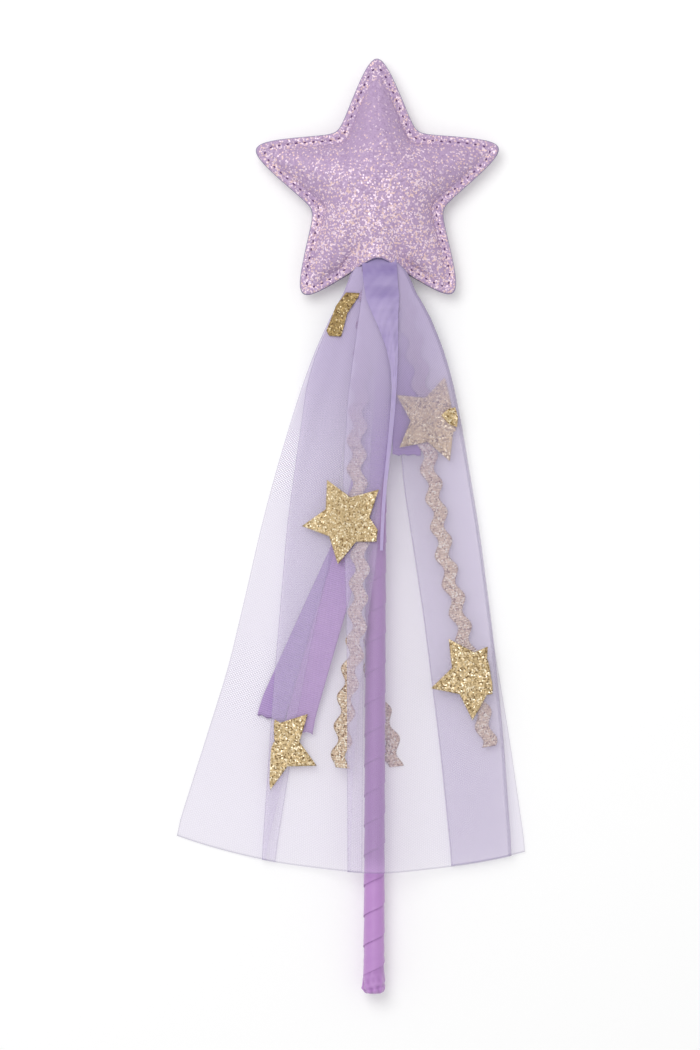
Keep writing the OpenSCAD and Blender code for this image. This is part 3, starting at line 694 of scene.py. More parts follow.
def star_surface(puff, neck, fill, seed):
    """Outer and inner grid of one panel, facing up: rings of the dome, then the flange to the cut edge.
    The outer face adds a groove at the seam, a pucker between each two stitches, slow dents and a rounded rim. Both
    faces take the cloth's movement."""
    angle = np.arange(STEPS) * 360 / STEPS
    f = np.concatenate([np.linspace(0.03, 0.86, 34), np.linspace(0.88, 1, 16)])[:, None]
    g = np.concatenate([np.linspace(0.08, 0.9, 12), [0.95, 0.985, 1.0]])[:, None]
    seam_r, rings = star_outline(angle, FLANGE), dome_rings(f, angle)
    (x, y), (x_low, y_low) = (star_xy(angle, np.concatenate([rings, mix(seam_r, star_outline(angle, trimmed), g)]))
                              for trimmed in (0.3, 0.0))
    share = np.concatenate([f, np.ones_like(g)])
    inset = np.concatenate([FLANGE + (1 - f) * 30, FLANGE * (1 - g)])
    low = HALF_GAP + dome(share, x_low, y_low, puff, neck)
    top = HALF_GAP + PANEL_T + dome(share, x, y, puff, neck)
    phase = 2 * np.pi * np.interp(angle, seam_angles, seam_run) * stitch_count / seam_run[-1]
    sewn = 1 - np.exp(-(x / 15) ** 4) * ease((MOUTH_Y + 18 - y) / 8)
    groove = np.exp(-((inset - STITCH_IN) / 0.6) ** 2) * (0.7 + 0.3 * np.cos(phase))
    pucker = np.cos(phase) * np.exp(-((inset - STITCH_IN - 1.7) / 1.1) ** 2)
    dents = np.sin(x / 9 + seed) * np.sin(y / 11 + 2 * seed) + 0.6 * np.sin(x / 5.5 - y / 7 + 3 * seed)
    top = top - (0.4 * groove + 0.14 * pucker) * sewn + 0.1 * dents * ease((inset - FLANGE) / 8)
    top = top - 0.35 * np.clip(1 - inset / 0.8, 0, 1) ** 2
    step = np.concatenate([carried(fill, f, angle), np.zeros((len(g), STEPS, 3))])
    return np.stack([x, y, top], -1) + step, np.stack([x_low, y_low, low], -1) + step


def star_panel(name, puff, neck, fill, seed, facing):
    """The panel as a closed piece, with the pale cut edge as its rim. facing is 1 for the front, -1 for the back,
    which is flat where it rests on the table."""
    points, faces = closed_rings(*star_surface(puff, neck, fill, seed))
    second = np.concatenate([np.full(len(part), i == 2) for i, part in enumerate(faces)])
    if facing < 0:
        points[:, 2] = np.minimum(points[:, 2], -FLOOR_Z)
        points, faces = points * [1, 1, -1], [part[:, ::-1] for part in faces]
    return piece(name, points, faces, glitter_fabric, cut_edge, second=second)


def dress(thing, node, body, hung=False):
    """The piece rides on a body or, if it is hung, has its place baked into its mesh and rides on none. It stands for a
    node of the frame, which is hidden."""
    if hung:
        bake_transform(thing)
    else:
        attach(thing, body)
    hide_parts(node)
    return thing


star_front = star_panel("star_front", PUFF_FRONT, NECK_FRONT, front_fill, 0.4, 1)
star_back = star_panel("star_back", PUFF_BACK, NECK_BACK, back_fill, 1.9, -1)
dress(star_front, "star_front_panel", "wand")
dress(star_back, "star_back_panel", "wand")
print("star panels of", len(star_front.data.polygons), "faces each")

# %% [markdown]
# ### Filling and stitches
# The filling is loose fibre that presses the panels apart, in two pads with the stick between them.
# The seam is a running stitch in dark thread. Each stitch is a short rounded bar that dips into the
# fabric at both ends. All of them are one array: a small tube, repeated along the seam.

# %% Filling
def filling_pad(puff):
    """One pad: a dome a little under the panel, over a floor that rises round the stick as a half circle."""
    f = np.linspace(0.05, 0.86, 18)[:, None]
    to_notch = np.abs(directions - 180)
    reach = np.where(to_notch < 42, mix(13.0, 60.0, ease((to_notch - 24) / 18)), 99.0)
    x, y = star_xy(directions, np.minimum(dome_rings(f, directions), reach * f))
    stick = np.sqrt(np.clip(4.5 ** 2 - x ** 2, 0, None)) * ease((350 - y) / 3)
    top = np.maximum(puff * skin_at(x, y) - 0.8, stick + 0.3)
    return np.stack([x, y, top], -1), np.stack([x, y, stick + 0.06], -1)


front_points, front_faces = closed_rings(*filling_pad(PUFF_FRONT))
back_points, back_faces = closed_rings(*filling_pad(PUFF_BACK))
filling = piece("star_filling", np.concatenate([front_points, back_points * [1, 1, -1]]),
                front_faces + [part[:, ::-1] + len(front_points) for part in back_faces], fibre)
dress(filling, "star_stuffing", "wand")
print("filling of", len(filling.data.polygons), "faces")

# %% Stitches
TUBE_RINGS, TUBE_SIDES = 7, 8


def stitch_tubes(facing):
    """All stitches of one face: tubes of a few rings of points along the seam. A tube's middle line is a low arch, a
    parabola that ends under the fabric's face, and its radius falls to nothing at its two ends."""
    at = (np.arange(stitch_count) + 0.5) / stitch_count * seam_run[-1]
    px, py = (np.interp(at, seam_run, line) for line in (seam_x, seam_y))
    dx, dy = (np.interp(at + 0.5, seam_run, line) - np.interp(at - 0.5, seam_run, line)
              for line in (seam_x, seam_y))
    long = np.hypot(dx, dy)
    keep = (py > SEAM_OPEN) | (np.abs(px) > 13)
    px, py, dx, dy = px[keep], py[keep], (dx / long)[keep], (dy / long)[keep]
    t = np.linspace(-1, 1, TUBE_RINGS)[None, :, None]
    k = np.arange(TUBE_SIDES)
    ring = k * np.pi / (TUBE_SIDES / 2)
    thick = STITCH_R * np.sqrt(np.clip(1.02 - t ** 4, 0, None))
    side, up = thick * np.cos(ring), thick * 0.8 * np.sin(ring)
    along = t * STITCH_L / 2
    x = px[:, None, None] + dx[:, None, None] * along - dy[:, None, None] * side
    y = py[:, None, None] + dy[:, None, None] * along + dx[:, None, None] * side
    z = HALF_GAP + PANEL_T - 0.12 - 0.3 * t ** 2 + up + tunnel(x, y, NECK_FRONT)
    points = np.stack([x, y, facing * z], -1)
    count = len(px)
    skin = grid_faces(TUBE_RINGS, TUBE_SIDES, closed=True)
    ends = np.stack([k, (TUBE_RINGS - 1) * TUBE_SIDES + k[::-1]])
    shift = TUBE_RINGS * TUBE_SIDES * np.arange(count)[:, None, None]
    faces = [(skin + shift).reshape(-1, 4), (ends + shift).reshape(-1, TUBE_SIDES)]
    return points.reshape(-1, 3), faces if facing < 0 else [part[:, ::-1] for part in faces], count


for name, node, facing in (("front_stitches", "star_front_stitches", 1), ("back_stitches", "star_back_stitches", -1)):
    points, faces, count = stitch_tubes(facing)
    dress(piece(name, points, faces, thread_dark), node, "wand")
print(count, "stitches on each face")

# %% [markdown]
# ## Stick
# A ribbon of satin winds up the stick, each turn lapping over the one below it. Its lower edge
# stands a little proud and throws the fine spiral line that shows on the wand. One strip along a
# helix does that: its radius falls evenly across its width, so the next turn fits over its upper
# edge. Painted shade darkens the lapped part of each turn along that line, and the satin inside
# the drape, under the net. At the foot the ribbon is folded over the stick's end, in slanting
# crumples with painted shade in their valleys.

# %% Ribbon round the stick
FOOT_EDGE, WIND_R, WIND_FALL, RIBBON_T = 10.1, 4.48, 0.3, 0.13
FIRST_TURN, TURN_STEPS, LAP = -0.48, 72, 1.12


def ribbon_spiral():
    """Outer and inner grid of the winding ribbon: along the turns by angle, across its width by height.
    Height is a helix that rises one pitch a turn; radius falls with the share of the width. A small bead follows the
    lower edge, fine creases run along the turns, and slanting ones gather just above the foot."""
    top_y = GATHER_Y + 1.5
    last = (top_y - FOOT_EDGE) / WRAP_PITCH
    a = np.linspace(FIRST_TURN, last, int((last - FIRST_TURN) * TURN_STEPS))[:, None] * 2 * np.pi
    start = FOOT_EDGE + WRAP_PITCH * a / (2 * np.pi)
    w = np.concatenate([[0, 0.012, 0.03], np.linspace(0.06, 0.94, 14), [0.98, 1]])[None, :]
    lower = np.minimum(start, top_y - 0.3)
    upper = np.minimum(start + LAP * WRAP_PITCH, top_y)
    y = mix(lower, upper, w)
    across = (y - start) / WRAP_PITCH
    crease = np.sin(5 * a + 2.2 * across) * np.sin(1.7 * a + 9 * across) + 0.7 * np.sin(11 * across - 2.3 * a)
    slant = np.sin(2.2 * a - 1.5 * y + 0.6) * np.exp(-((y - 15.5) / 4.0) ** 2)
    bead = 0.07 * np.exp(-((across - 0.03) / 0.03) ** 2) - 0.06 * np.clip(1 - across / 0.015, 0, 1)
    outer = WIND_R - WIND_FALL * across + 0.022 * crease + 0.07 * slant + bead
    inner = np.maximum(WIND_R - WIND_FALL * across - RIBBON_T, DOWEL_R + 0.02)
    uv = np.stack([a * 4.3 + 0 * y, y - start], -1) / UV_MM
    return [np.stack([r * np.sin(a), y, r * np.cos(a)], -1) for r in (outer, inner)], uv


(outer, inner), spiral_uv = ribbon_spiral()
# Painted shade on the satin: darker inside the drape, under the net, and along the part of each turn that the next one
# laps.
net_shade_paint = 0.55 * ease((outer[..., 1] - (GATHER_Y - DRAPE_L)) / 8)
lap_shade_paint = 0.4 * np.clip((spiral_uv[..., 1] * UV_MM / WRAP_PITCH - 0.9) / 0.1, 0, 1)
ribbon = slab("ribbon_spiral", outer, inner, satin, spiral_uv, under=np.maximum(net_shade_paint, lap_shade_paint))
dress(ribbon, "ribbon_wrap", "wand")
print("ribbon of", len(ribbon.data.polygons), "faces")

# %% Crumpled foot
def lathe(radius, y, turn, pleat=0.0, lift=0.0):
    """Rings round the stick: radius and y are a profile, pleat is added to the radius, lift raises the middle."""
    r = radius[:, None] + pleat + 0 * turn
    return np.stack([r * np.sin(turn), y[:, None] + 0 * r, lift + r * np.cos(turn)], -1)


def ribbon_foot(turn):
    """Rings of the ribbon folded over the stick's end: a flat end, a quarter circle of 2 mm and a side that runs under
    the first turn of the winding. Crumples are products of sines that slant round the stick, strongest at the end.
    With them comes how much painted shade each point takes: more in the valleys and under the first turn."""
    corner = np.linspace(0, np.pi / 2, 10)[1:]
    radius = np.concatenate([[0.3, 1.0, 1.8], 2.65 + 2.0 * np.sin(corner),
                             np.linspace(4.66, 4.4, 16), [4.36, 4.2, 4.1]])
    y = np.concatenate([[0.1, 0.04, 0.0], 2.0 - 2.0 * np.cos(corner),
                        np.linspace(2.4, 13.4, 16), [13.6, 13.6, 13.5]])
    h = y[:, None]
    wrinkle = np.sin(3 * turn + 1.1 * h) * np.sin(5 * turn - 0.7 * h + 1) + 0.5 * np.sin(9 * turn + 0.9 * h)
    wrinkle = wrinkle + 0.5 * np.sin(7 * turn - 1.6 * h) * np.sin(4 * turn + 1.3 * h + 2)
    crumple = wrinkle * 0.34 * np.exp(-((h - 2.6) / 4.2) ** 2) * ease(radius / 4)[:, None]
    under = 0.024 * np.maximum(0, h - FOOT_EDGE - 2.0 * np.arcsin(np.sin(turn))) + 0.22 * ease((h - 6) / 4)
    rings = lathe(radius, y, turn, crumple - under)
    # Painted shade in the crumples' valleys and under the first turn, and a little on the smooth part.
    shade = np.clip(0.1 - 1.1 * crumple + 0.8 * under, 0, 0.5)
    inside = lathe(np.array([4.02, 4.02, 0.3]), np.array([13.4, 0.62, 0.62]), turn)
    return np.concatenate([rings, inside]), np.concatenate([shade, np.zeros(inside.shape[:2])])


FOOT_SIDES = 120
around = np.arange(FOOT_SIDES)[None, :]
turn_angle = around[0] * 2 * np.pi / FOOT_SIDES
foot_points, foot_shade = ribbon_foot(turn_angle)
foot_faces = [grid_faces(len(foot_points), FOOT_SIDES, closed=True)[:, ::-1], around,
              (len(foot_points) - 1) * FOOT_SIDES + around[:, ::-1]]
foot_uv = np.stack([np.broadcast_to(turn_angle * 4.6, foot_points.shape[:2]), foot_points[..., 1]], -1) / UV_MM
foot = piece("ribbon_foot", foot_points, foot_faces, satin, uv=foot_uv, marks={"under": foot_shade})
dress(foot, "wrap_end_cap", "wand")
print("foot of", len(foot_points), "rings")

# %% [markdown]
# ## Gather
# Above the drape the ends of all the cloth are bunched round the stick, tied with thread and pushed
# into the star. The bunch is a sleeve round the stick with flutes, thicker where it is tied.

# %% Bunch and binding
BUNCH_LIFT, BUNCH_IN, BUNCH_RINGS, BUNCH_SIDES, FLUTES = 0.7, 4.12, 26, 156, 13
flute_angle = np.arange(BUNCH_SIDES) * 2 * np.pi / BUNCH_SIDES


def sleeve(name, rings, material, uv=None):
    """A closed sleeve round the stick, from rings that run up its outside and down its inside."""
    return piece(name, rings, [grid_faces(*rings.shape[:2], closed=True, looped=True)[:, ::-1]], material, uv=uv)


bunch_y = np.linspace(GATHER_Y + 0.4, MOUTH_Y + 12.9, BUNCH_RINGS)
tied = ease((bunch_y - MOUTH_Y - 2.2) / 3.2)
flutes = 0.22 * np.sin(FLUTES * flute_angle + 0.5 * np.sin(3 * flute_angle)) * ease((bunch_y - GATHER_Y) / 4)[:, None]
outside = lathe(mix(4.75, 6.0, tied), bunch_y, flute_angle, flutes, BUNCH_LIFT * tied[:, None])
inside = lathe(np.full(BUNCH_RINGS, BUNCH_IN), bunch_y, flute_angle)[::-1]
bunch_points = np.concatenate([outside, inside])
bunch_uv = np.stack([np.broadcast_to(flute_angle * 40, bunch_points.shape[:2]), bunch_points[..., 1]], -1) / UV_MM
bunch = sleeve("gather_bunch", bunch_points, bunched_tulle, bunch_uv)
dress(bunch, "gather_bundle", "wand")

wind = np.linspace(0, 1, 60)
binding_y = np.concatenate([MOUTH_Y + 5.05 + 3.9 * wind, MOUTH_Y + 8.95 - 3.9 * wind[::6]])
binding_r = np.concatenate([6.5 + 0.18 * np.abs(np.sin(9 * np.pi * wind)), np.full(10, 6.36)])
binding = sleeve("gather_thread", lathe(binding_r, binding_y, flute_angle, 0.0, BUNCH_LIFT), thread_dark)
dress(binding, "gather_binding", "wand")
print("bunch of", len(bunch.data.polygons), "faces")

# %% [markdown]
# ## Drape
# The drape is a few strips of tulle that start in the bunch, pass over the stick and fall to the
# table on both sides. Their edges and folds are lines down the drape. A line is a short table of
# sideways places, as shares of the reach, against the share of the length, and is smoothed by
# averaging three nearby values. Every layer is the same surface, a tent over the stick, raised by
# a ply for each layer below it. One slow field of waves lifts all layers together, so the folds
# look loose and no layer cuts through another.

# %% Lines of the drape
LINES = {name: np.array(table) for name, table in {
    "left_edge": [[0, -0.12], [0.05, -0.2], [0.1, -0.27], [0.16, -0.34], [0.25, -0.423], [0.35, -0.505], [0.45, -0.578],
                  [0.55, -0.64], [0.7, -0.738], [1, -1]],
    "left_fold": [[0, -0.11], [0.05, -0.192], [0.1, -0.262], [0.17, -0.34], [0.42, -0.44], [0.7, -0.505], [1, -0.561]],
    "left_turn": [[0, -0.04], [0.32, -0.176], [0.48, -0.229], [0.62, -0.317], [0.75, -0.39], [1, -0.551]],
    "under_edge": [[0, -0.01], [0.2, -0.1], [0.45, -0.14], [0.55, -0.21], [0.65, -0.29], [0.78, -0.4], [1, -0.5]],
    "over_edge": [[0, 0.03], [0.3, -0.03], [0.6, -0.06], [1, -0.06]],
    "margin_edge": [[0, 0.07], [0.2, 0.09], [0.33, 0.035], [0.45, 0.011], [0.62, -0.055], [0.82, -0.108], [1, -0.118]],
    "margin_fold": [[0, -0.06], [0.2, -0.14], [0.35, -0.165], [0.58, -0.14], [1, -0.13]],
    "right_turn": [[0, 0.085], [0.2, 0.12], [0.34, 0.14], [0.57, 0.248], [0.8, 0.336], [1, 0.399]],
    "right_fold": [[0, 0.115], [0.04, 0.205], [0.08, 0.261], [0.12, 0.307], [0.16, 0.347], [0.25, 0.405], [0.44, 0.5],
                   [0.62, 0.57], [0.8, 0.625], [1, 0.669]],
    "right_edge": [[0, 0.125], [0.04, 0.215], [0.08, 0.271], [0.12, 0.317], [0.16, 0.357], [0.25, 0.415], [0.44, 0.51],
                   [0.62, 0.585], [0.8, 0.674], [1, 0.76]],
    "strand": [[0, 0.012], [0.038, 0.023], [0.08, 0.056], [0.12, 0.077], [0.154, 0.089], [0.19, 0.088], [0.245, 0.076],
               [0.287, 0.064], [0.33, 0.05], [0.37, 0.038], [0.46, 0.026]],
    "tail_a": [[0, -0.025], [0.28, 0], [0.44, -0.128], [0.54, -0.263], [0.64, -0.397], [0.745, -0.535]],
    "tail_b": [[0, -0.015], [0.28, 0.006], [0.44, -0.112], [0.55, -0.21], [0.64, -0.287], [0.765, -0.391]],
    "tail_short": [[0, 0.06], [0.08, 0.125], [0.14, 0.147], [0.3, 0.152]],
    "trim_right": [[0, 0.09], [0.04, 0.13], [0.08, 0.163], [0.134, 0.2], [0.19, 0.23], [0.3, 0.255], [0.41, 0.318],
                   [0.47, 0.342], [0.535, 0.398], [0.59, 0.433], [0.79, 0.575]],
    "trim_left": [[0, -0.03], [0.1, -0.06], [0.2, -0.087], [0.27, -0.1], [0.33, -0.098], [0.47, -0.074], [0.54, -0.09],
                  [0.6, -0.09], [0.64, -0.11], [0.69, -0.137], [0.76, -0.157], [0.825, -0.178]],
    "trim_back": [[0, 0], [0.58, 0], [0.65, -0.02], [0.71, 0.01], [0.785, 0.085], [0.825, 0.1]],
    "far_left": [[0, -1], [1, -1]],
    "far_right": [[0, 1], [1, 1]],
}.items()}
TUCK, NEARBY, SETTLE = 0.045, 0.03, 0.3


def line_x(name, v):
    """Sideways place of a line at shares v of the length, in millimetres: the mean of three nearby table values."""
    table = LINES[name]
    return REACH * sum(np.interp(v + step, table[:, 0], table[:, 1]) for step in (-NEARBY, 0, NEARBY)) / 3


def settled(v):
    """How far the drape has come down from the stick to the table, at shares v of the length."""
    return ease(v / SETTLE)


def slow_folds(x, v):
    """Slow folds that fan out from the gather: two sines of the direction from it, never below zero, and flat over the
    stick."""
    way = x / (30 + 250 * np.clip(v, 0, 1))
    waves = 0.5 + 0.3 * np.sin(34 * way + 1.0) + 0.2 * np.sin(61 * way + 5 * v)
    return waves * settled(v) * (1 - np.exp(-(x / 14) ** 2))


def drape_z(x, v, layer):
    """Height of a layer: a tent that falls from the stick's top to the table, plus the layer's ply, plus the slow
    folds. Above the gather the plies are pressed together."""
    side = mix(-1.0, REST_FLOOR, settled(v))
    tent = mix(side, REST_TOP, np.exp(-(x / TENT_W) ** 2))
    return tent + PLY * layer * (1 - 0.65 * ease(-v / 0.028)) + slow_folds(x, v)


def tucked(x, v):
    """Sideways places pulled together by half where the cloth goes into the star."""
    return x * (1 - 0.5 * ease(-v / TUCK))


print(len(LINES), "lines")

# %% Tulle sheets
def run(a, b, layer, count):
    """Columns from line a to line b on one layer, closer together at both ends."""
    shares = np.concatenate([[0, 0.012], np.linspace(0.04, 0.96, count), [0.988, 1]])
    return [(a, b, f, layer, 0.0) for f in shares]


def fold(line, low, high, side):
    """Columns of a fold at a line: half a circle from one layer to the other."""
    t = np.linspace(0, np.pi, 9)[1:-1]
    half = (high - low) / 2
    return [(line, line, 0.0, (low + high) / 2 - half * np.cos(s), side * PLY * abs(half) * np.sin(s)) for s in t]


def sheet(name, columns):
    """A sheet from its columns, and the width of its widest row. Each column runs the drape's length, so its hem lies
    on an arc about the gather. The gather mark is how much narrower a row is than the hem, because the same threads
    crowd into it, and more close to the gather. It thickens the net and deepens its colour, partly as painted shade."""
    rows = np.linspace(0, 1, 120) ** 1.15
    v = np.concatenate([np.linspace(-TUCK, 0, 8)[:-1], rows[:-1], [0.9965, 1]])
    x = np.stack([mix(line_x(a, v), line_x(b, v), f) + side for a, b, f, _, side in columns], 1)
    drop = np.sqrt(DRAPE_L ** 2 - x[-1] ** 2)
    v = v[:, None]
    x = tucked(x, v)
    z = drape_z(x, v, np.array([c[3] for c in columns]))
    points = np.stack([x, GATHER_Y - v * drop, z], -1)
    width = np.concatenate([[0], np.cumsum(np.linalg.norm(np.diff(points[-1], axis=0), axis=1))])
    uv = np.stack([np.broadcast_to(width, x.shape), np.broadcast_to(v * DRAPE_L, x.shape)], -1) / UV_MM
    rim = np.where([c[0] == c[1] for c in columns], 0.45, 0.0) + np.zeros(x.shape)
    rim[-1] = rim[:, 0] = rim[:, -1] = 1
    row_width = np.linalg.norm(np.diff(points, axis=1), axis=2).sum(1, keepdims=True)
    crowded = np.clip((width[-1] / row_width - 1) / 6, 0, 0.6)
    # The gather mark also deepens the net's colour, partly as painted shade near the star.
    gather_and_shade = crowded + 0.45 * np.exp(-(np.clip(v, 0, 1) / 0.17) ** 2) + 0 * x
    net = piece(name, points, [grid_faces(*x.shape)], tulle, uv=uv, marks={"gather": gather_and_shade, "rim": rim})
    return net, float(row_width.max())


def area_of(thing):
    """Area of a piece's faces in square metres."""
    areas = np.zeros(len(thing.data.polygons))
    thing.data.polygons.foreach_get("area", areas)
    return float(areas.sum())


SHEETS = {
    "tulle_left_under": ("left_under_drape", run("left_edge", "under_edge", 0, 30)),
    "tulle_left_over": ("left_over_drape", run("left_turn", "left_fold", 3, 16) + fold("left_fold", 3, 4, -1)
                        + run("left_fold", "over_edge", 4, 36)),
    "tulle_right": ("right_drape", run("margin_edge", "margin_fold", 6.8, 16) + fold("margin_fold", 6.8, 7.8, -1)
                    + run("margin_fold", "right_fold", 7.8, 50) + fold("right_fold", 7.8, 2.6, 1)
                    + run("right_fold", "right_turn", 2.6, 20) + fold("right_turn", 2.6, 0, -1)
                    + run("right_turn", "right_edge", 0, 24)),
}
for node, (body, columns) in SHEETS.items():
    thing, width = sheet(node.replace("tulle", "net"), columns)
    dress(thing, node, body, hung=True)
    area_of(thing)
    print(thing.name, "widest", round(width, 1), "mm, area", round(area_of(thing) * 1e4), "cm2")

# %% [markdown]
# ### Strips: the twisted band, ribbon tails and wavy braid
# A strip follows one line down the drape, and its points are set off to both sides of it. The
# braid's middle line swings from side to side as a sine. Ribbons and braid are closed slabs, the
# twisted band of tulle is a single sheet like the rest of the net.

# %% Strips
TRIM_W, TRIM_SWING, TRIM_PITCH = 6.0, 1.3, 12.0


def strip(line, v, half, layer, columns, swing=0.0):
    """A grid along a line: the middle plus a sideways vector times the share across, the half width and the swing.
    The sideways vector is square to the step back along the line."""
    v = v[:, None]
    def middle(s):
        return tucked(line_x(line, s), s), GATHER_Y - s * DRAPE_L
    (x, y), (bx, by) = middle(v), middle(v - NEARBY)
    long = np.hypot(x - bx, y - by)
    side_x, side_y = -(y - by) / long, (x - bx) / long
    off = swing * np.sin(2 * np.pi * v * DRAPE_L / TRIM_PITCH) * ease((v + TUCK) / TUCK) + columns * half[:, None]
    x, y = x + side_x * off, y + side_y * off
    z = behind_z(x, v) if layer == "behind" else drape_z(x, v, layer)
    return np.stack([x, y, z], -1), np.stack([columns * half[:, None], v * DRAPE_L + 0 * x], -1) / UV_MM


def behind_z(x, v):
    """Height of the braid that lies behind the stick: against its back at the gather, on the table further down."""
    return mix(-REST_TOP - 0.3, REST_FLOOR, settled(v)) + 0 * x


def strip_rows(end, count):
    """Shares of the length from the tuck to the strip's end."""
    return np.concatenate([np.linspace(-TUCK, 0, 7)[:-1], np.linspace(0, end, count)])


v = strip_rows(0.46, 130)
columns = np.concatenate([[-1, -0.97], np.linspace(-0.9, 0.9, 19), [0.97, 1]])
half = REACH / 2 * np.interp(v, [0, 0.038, 0.08, 0.12, 0.154, 0.19, 0.46],
                             [0.173, 0.165, 0.105, 0.06, 0.035, 0.024, 0.015])
band, band_uv = strip("strand", v, half, 9.2, columns)
ridge = 0.35 * np.exp(-((columns - 0.35) / 0.22) ** 2) + 0.2 * np.exp(-((columns + 0.97) / 0.12) ** 2)
down = v[:, None]
creases = np.sin(down * 110 + 1.5 * np.sin(down * 37)) * (0.5 + 0.5 * np.sin(3 * columns + down * 40))
creases = creases + 0.5 * np.sin(down * 235 + 4 * columns) * np.sin(2 + 5 * columns + down * 61)
creases = creases + 0.3 * np.sin(down * 560 + 7 * columns) * np.sin(1 + 8 * columns + down * 83)
band[..., 2] += (ridge + 0.5 * creases) * ease(down / 0.04) * ease(half / 3)[:, None]
edge = np.broadcast_to((np.abs(columns) > 0.98) * 0.35, band.shape[:2])
# Painted shade: the band's colour deepens towards the gather and in the valleys of its creases.
gather_and_shade = np.clip(0.15 + 0.6 * np.exp(-np.clip(down, 0, 1) / 0.1) - 0.16 * creases, 0, 1)
thing = piece("net_band", band, [grid_faces(*band.shape[:2])], folded_tulle, uv=band_uv * 2,
              marks={"gather": gather_and_shade, "rim": edge})
dress(thing, "tulle_strand", "right_drape", hung=True)
area_of(thing)
print("band of", len(thing.data.polygons), "faces")

# %% Ribbon tails
TAIL_W, TAIL_T = 12.0, 0.3


def ribbon_tail(name, line, end, layer, finish):
    """A ribbon tail: a thin slab, pinched at the gather, with a slight cup across it, an uneven cut end and painted
    shade towards the gather.
    """
    v = strip_rows(end, 110)
    columns = np.linspace(-1, 1, 15)
    half = TAIL_W / 2 * np.interp(v, [0, 0.12], [0.4, 1.0])
    middle, uv = strip(line, v, half, layer, columns)
    middle[-1, :, 1] += 0.35 * np.sin(columns * 9 + layer) + 0.2 * np.sin(columns * 23)
    middle[..., 2] += 0.1 * columns ** 2 * settled(v)[:, None]
    # Painted shade: the tail darkens towards the gather, where it lies deep under the net.
    under = 1 - ease((v - 0.3) / 0.3)
    return slab(name, middle + [0, 0, TAIL_T / 2], middle - [0, 0, TAIL_T / 2], finish, uv, under=under[:, None])


for name, node, line, end, layer, body, finish in (
    ("tail_left_low", "ribbon_tail_a", "tail_a", 0.745, 1, "left_under_drape", grosgrain),
    ("tail_left_high", "ribbon_tail_b", "tail_b", 0.765, 2, "left_under_drape", grosgrain_pink),
    ("tail_short", "ribbon_tail_short", "tail_short", 0.3, 3.5, "right_drape", grosgrain),
):
    tail = dress(ribbon_tail(name, line, end, layer, finish), node, body, hung=True)
    print(name, round(DRAPE_L * (end + TUCK)), "mm long")

# %% Wavy braid
def wavy_braid(name, line, end, layer):
    """Wavy braid: a slab with a crowned face and a swinging middle line, and the straight line that it swings about."""
    v = strip_rows(end, int(end * DRAPE_L / TRIM_PITCH * 18))
    columns = np.array([-1, -0.9, -0.75, -0.5, -0.25, 0, 0.25, 0.5, 0.75, 0.9, 1.0])
    middle, uv = strip(line, v, np.full(len(v), TRIM_W / 2), layer, columns, TRIM_SWING)
    top = middle.copy()
    top[..., 2] += 0.3 - 0.2 * columns ** 4
    # Painted shade under the gathered net: full near the gather, fading out between 0.16 and 0.38 of the length.
    under = 0.85 * (1 - ease((v - 0.16) / 0.22))
    braid = slab(name, top, middle - [0, 0, 0.26], gold_braid, uv, edge=np.abs(columns), under=under[:, None])
    path, _ = strip(line, v, np.zeros(len(v)), layer, np.zeros(1))
    return braid, path[:, 0]


for name, node, line, end, layer, body in (
    ("braid_right", "ricrac_right", "trim_right", 0.79, 4.7, "right_drape"),
    ("braid_left", "ricrac_left", "trim_left", 0.825, 5.3, "left_trim"),
    ("braid_back", "ricrac_back", "trim_back", 0.825, "behind", "back_trim"),
):
    braid, path = wavy_braid(name, line, end, layer)
    dress(braid, node, body, hung=True)

# %% [markdown]
# ## Gold stars
# Five stars of gold glitter film are stuck on the net. Four are flat stars in polar coordinates,
# turned, laid on their layer and drawn in at the fold lines that they wrap round. Of the first
# star only a crumpled part shows beside a fold, and so does one arm of the second. Both of these
# are polygons.

# %% Gold stars
GOLD_R, GOLD_NOTCH, FILM_T, BORDER_STEPS = 18.8, 0.52, 0.25, 96


def gold_star(place, turned, layer, low_line, high_line):
    """Upper and lower rings of a star: a five-pointed outline, turned, moved to its place down and across the drape,
    and drawn in towards its middle wherever it would pass a line. It bows over the twisted band where it crosses it."""
    radius, angle = star_edge(directions, GOLD_R, GOLD_NOTCH * GOLD_R, 0, 0), np.radians(directions)
    across, up = radius * np.sin(angle), radius * np.cos(angle)
    c, s = np.cos(np.radians(turned)), np.sin(np.radians(turned))
    dx, dy = across * c - up * s, up * c + across * s
    x0, v0 = REACH * place[1], place[0]
    v = v0 - dy / DRAPE_L
    room = np.ones_like(dx)
    for limit, sign in ((line_x(low_line, v) + 0.6, -1), (line_x(high_line, v) - 0.6, 1)):
        past = sign * (x0 + dx - limit) > 0
        room = np.where(past, np.minimum(room, (limit - x0) / np.where(past, dx, 1)), room)
    f = np.linspace(0.06, 1, 14)[:, None]
    x, v = x0 + f * room * dx, v0 - f * room * dy / DRAPE_L
    bow = 1.2 * np.exp(-((x - line_x("strand", v)) / 5) ** 2) * (layer > 8)
    z = drape_z(x, v, layer + bow) + 0.12 * f ** 3
    flat = np.stack([x, GATHER_Y - v * DRAPE_L, z], -1)
    return flat + [0, 0, FILM_T], flat


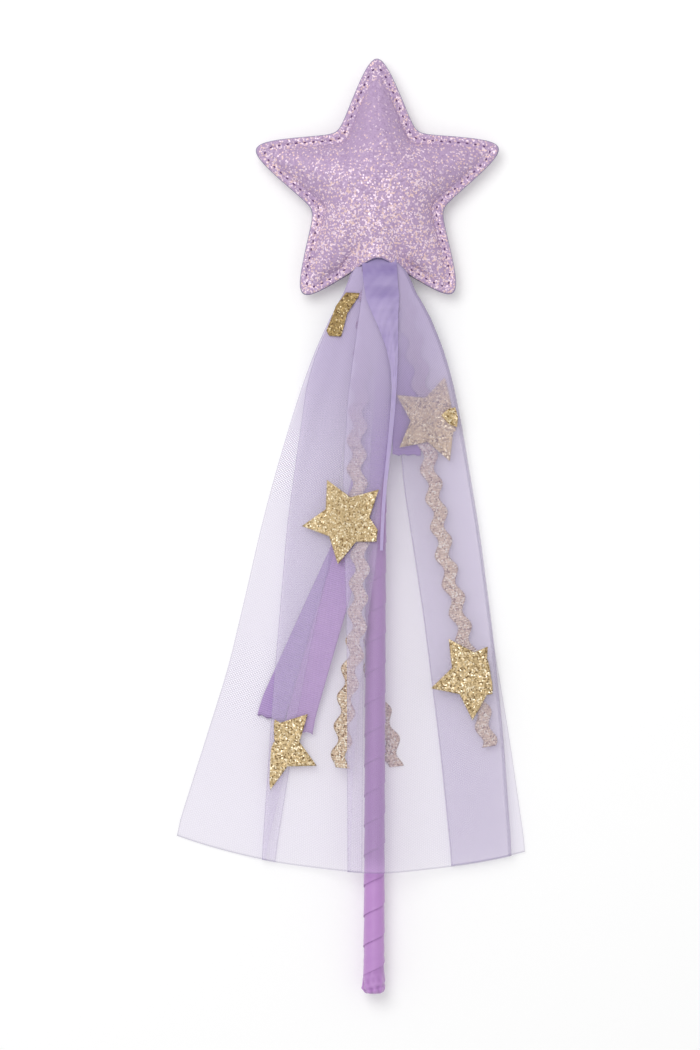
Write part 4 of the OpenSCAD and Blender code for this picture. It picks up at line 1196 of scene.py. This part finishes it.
def gold_scrap(corners, layer):
    """Upper and lower rings of the part of a star that shows beside a fold: a polygon of corners in millimetres,
    sampled evenly along its border, shrunk to its middle ring by ring, and crumpled by a product of sines."""
    border = np.array(corners + corners[:1])
    along = np.concatenate([[0], np.cumsum(np.hypot(*np.diff(border, axis=0).T))])
    at = np.arange(BORDER_STEPS) / BORDER_STEPS * along[-1]
    f = np.linspace(0.06, 1, 12)[:, None]
    around = [np.interp(at, along, border[:, k]) for k in (0, 1)]
    x, y = (mix(line.mean(), line, f) for line in around)
    crumple = 0.35 * (1 + np.sin(1.1 * x + 0.7 * y) * np.sin(0.9 * y - 0.5 * x))
    flat = np.stack([x, y, drape_z(x, (GATHER_Y - y) / DRAPE_L, layer) + crumple], -1)
    return flat + [0, 0, FILM_T], flat


for number, place, turned, layer, low_line, high_line, body in (
    (2, (0.24, 0.287), -14.5, 5.7, "far_left", "right_fold", "right_drape"),
    (3, (0.41, -0.149), 25.6, 8.4, "far_left", "margin_edge", "right_drape"),
    (4, (0.67, 0.493), 34.6, 8.4, "far_left", "right_fold", "right_drape"),
    (5, (0.79, -0.492), 28, 4.5, "left_fold", "far_right", "left_over_drape"),
):
    rings = gold_star(place, turned, layer, low_line, high_line)
    star = piece(f"gold_star_{number}", *closed_rings(*rings), gold_glitter)
    dress(star, f"glitter_star_{number}", body)

folded_star = [[-13.0, 294.0], [-6.9, 293.6], [-12.5, 285.2], [-15.0, 275.5], [-20.05, 275.9], [-21.2, 278.0],
               [-17.2, 288.5]]
# The folded star wears the gold glitter with painted shade.
star = piece("gold_star_1", *closed_rings(*gold_scrap(folded_star, 4.5)), gold_in_shade)
dress(star, "glitter_star_1", "left_over_drape")
wrapped_arm = [[27.2, 242.8], [29.7, 245.3], [33.0, 246.3], [34.2, 242.3], [33.9, 237.9], [30.5, 239.2]]
arm = piece("gold_star_2_arm", *closed_rings(*gold_scrap(wrapped_arm, 8.2)), gold_glitter)
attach(arm, "right_drape")
print("five gold stars, and the second one's arm")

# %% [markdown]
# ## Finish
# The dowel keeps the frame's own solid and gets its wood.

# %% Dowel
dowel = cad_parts["stick_core"]
dowel.data.materials.clear()
dowel.data.materials.append(wood)
